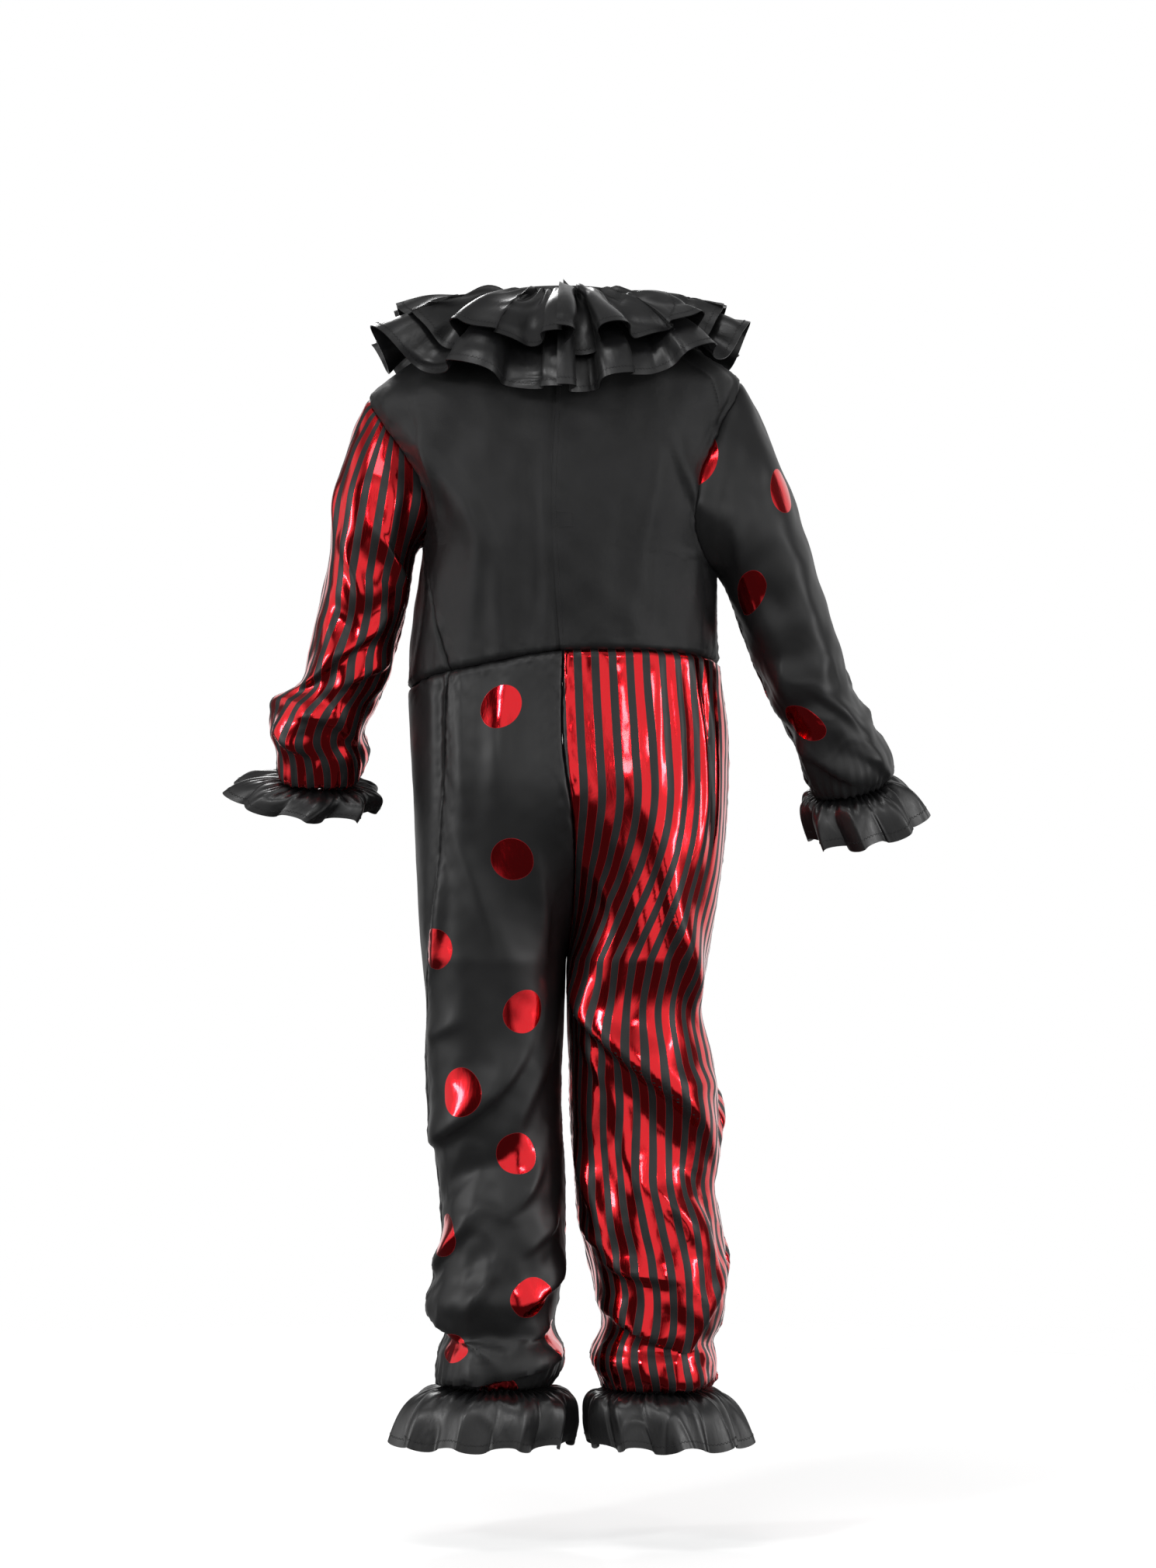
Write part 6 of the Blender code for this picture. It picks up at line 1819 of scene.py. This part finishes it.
FLOOR_DROP = 1.117  # the wearer's soles
FLOOR_RADIUS, FADE_START, FADE_END = 2.4, 0.9, 2.3
FLOOR_WHITE, FLOOR_GLOW = (0.88, 0.88, 0.88, 1), 0.36
floor_rim = [(FLOOR_RADIUS * cosd(turn), FLOOR_RADIUS * sind(turn)) for turn in range(0, 360, 4)]
floor_mesh = bpy.data.meshes.new("floor")
floor_mesh.from_pydata([(x, y, -FLOOR_DROP) for x, y in floor_rim], [], [tuple(range(len(floor_rim)))])
floor = bpy.data.objects.new("floor", floor_mesh)
bpy.context.scene.collection.objects.link(floor)
paper = Shader("floor_paper")
where = paper.add("ShaderNodeTexCoord").outputs["Object"]
foot = ((0, where), (1, (0.0, 0.0, -FLOOR_DROP)))
from_middle = paper.add("ShaderNodeVectorMath", foot, operation="DISTANCE")
fade = paper.band(from_middle.outputs["Value"], FADE_START, FADE_END)
white_paper = paper.finish(Base_Color=FLOOR_WHITE, Roughness=0.9, Emission_Color=(1, 1, 1, 1),
                           Emission_Strength=FLOOR_GLOW, Alpha=paper.math("SUBTRACT", 1.0, fade))
floor_mesh.materials.append(white_paper)
floor.visible_glossy = False
floor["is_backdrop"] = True

# The room's walls as a mirror on the suit sees them: degrees round from the back towards the wearer's left,
# and how bright each is. A later row covers an earlier one.
Wall = namedtuple("Wall", "start end radiance")
WALLS = (
    Wall(-181, 181, 0.88),
    Wall(22, 62, 0.04),
    Wall(-118, -84, 0.10),
    Wall(118, 150, 0.08),
    Wall(-27, -14, 0.05),
)
SOFT = 5  # degrees over which one wall fades into the next
# What lies above and below the walls: the steepness at which it begins to show, the one at which it covers the
# walls, and how bright it is. Straight down is -1 and straight up is 1.
CEILING, UNDERNEATH = (0.50, 0.78, 0.30), (-0.14, -0.38, 0.05)

world = bpy.data.worlds.new("studio")
bpy.context.scene.world = world
world.use_nodes = True
room = Nodes(world.node_tree)
way = room.add("ShaderNodeTexCoord").outputs["Generated"]
split = room.add("ShaderNodeSeparateXYZ", ((0, way),))
round_it = room.math("MULTIPLY", room.math("ARCTAN2", split.outputs[0], split.outputs[1]), 180 / np.pi)
height = split.outputs[2]
light = WALLS[0].radiance
for wall in WALLS:
    inside = room.math("MULTIPLY", room.band(round_it, wall.start - SOFT, wall.start + SOFT),
                       room.band(round_it, wall.end + SOFT, wall.end - SOFT))
    light = room.add("ShaderNodeMix", ((0, inside), (2, light), (3, wall.radiance))).outputs[0]
for start, end, radiance in (CEILING, UNDERNEATH):
    covered = room.band(height, start, end)
    light = room.add("ShaderNodeMix", ((0, covered), (2, light), (3, radiance))).outputs[0]
lit = room.tree.nodes["Background"]
room.set(lit, "Strength", light)
seen = room.add("ShaderNodeBackground", (("Color", (1.0, 1.0, 1.0, 1)),))
choice = room.add("ShaderNodeMixShader", ((0, room.add("ShaderNodeLightPath").outputs["Is Camera Ray"]),
                                          (1, lit.outputs[0]), (2, seen.outputs[0])))
room.tree.links.new(choice.outputs[0], room.tree.nodes["World Output"].inputs["Surface"])
lit.inputs["Color"].default_value = (1.0, 1.0, 1.0, 1)
bpy.context.scene.view_settings.view_transform = "Standard"
print("floor at", -FLOOR_DROP, "m")

# %% Lamps

Lamp = namedtuple("Lamp", "name place width height watts")
LAMPS = (
    Lamp("overhead", (0.6, 1.6, 2.6), 1.3, 0.9, 20),
    Lamp("back_left", (1.9, 3.0, 1.3), 0.35, 0.6, 26),
    Lamp("back_right", (-1.5, 3.4, 0.9), 0.30, 0.7, 11),
    Lamp("left_strip", (3.0, 0.9, 0.2), 0.25, 1.4, 24),
    Lamp("right_strip", (-3.0, 1.1, 0.0), 0.25, 1.4, 24),
    Lamp("front", (0.7, -3.2, 1.6), 0.5, 0.6, 24),
)
AIM = (0.0, 0.0, -0.45)
for lamp in LAMPS:
    light = bpy.data.lights.new(lamp.name, "AREA")
    light.shape, light.size, light.size_y, light.energy = "RECTANGLE", lamp.width, lamp.height, lamp.watts
    made = bpy.data.objects.new(lamp.name, light)
    made.location = lamp.place
    away = unit(np.array(lamp.place) - np.array(AIM))
    turn_round = np.arctan2(away[0], -away[1])
    made.rotation_euler = (np.arccos(np.clip(away[2], -1, 1)), 0.0, turn_round)
    made.visible_camera = False
    bpy.context.scene.collection.objects.link(made)
print(len(LAMPS), "lamps,", sum(lamp.watts for lamp in LAMPS), "W")

# %% [markdown]
# The camera stands level behind the suit, far off and with a long lens. From nearer by, whatever is towards
# the camera would look too large.

# %% Camera

CAMERA_PLACE = (-0.01435, 5.5, -0.427)
LENS, SENSOR_HEIGHT = 139.0, 36.0  # millimetres

camera_data = bpy.data.cameras.new("camera")
camera_data.lens = LENS
camera_data.sensor_fit = "VERTICAL"
camera_data.sensor_height = SENSOR_HEIGHT
camera = bpy.data.objects.new("camera", camera_data)
camera.location = CAMERA_PLACE
camera.rotation_euler = (np.pi / 2, 0.0, np.pi)
bpy.context.scene.collection.objects.link(camera)
bpy.context.scene.camera = camera
print("camera", camera_data.lens, "mm")

# %% [markdown]
# ## Sizes
# The cloth is not allowed to outgrow its solids. The box round the solids was kept at the start, and how far
# the cloth's box reaches past it at both ends of each axis is printed.

# %% Print how far the cloth reaches past the solids

cloth_box = [list(corner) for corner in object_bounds()]
for k, axis in enumerate("xyz"):
    past = [round(1000 * (cloth_box[end][k] - solid_box[end][k]), 1) for end in (0, 1)]
    print(axis, "cloth past the solids:", past, "mm")
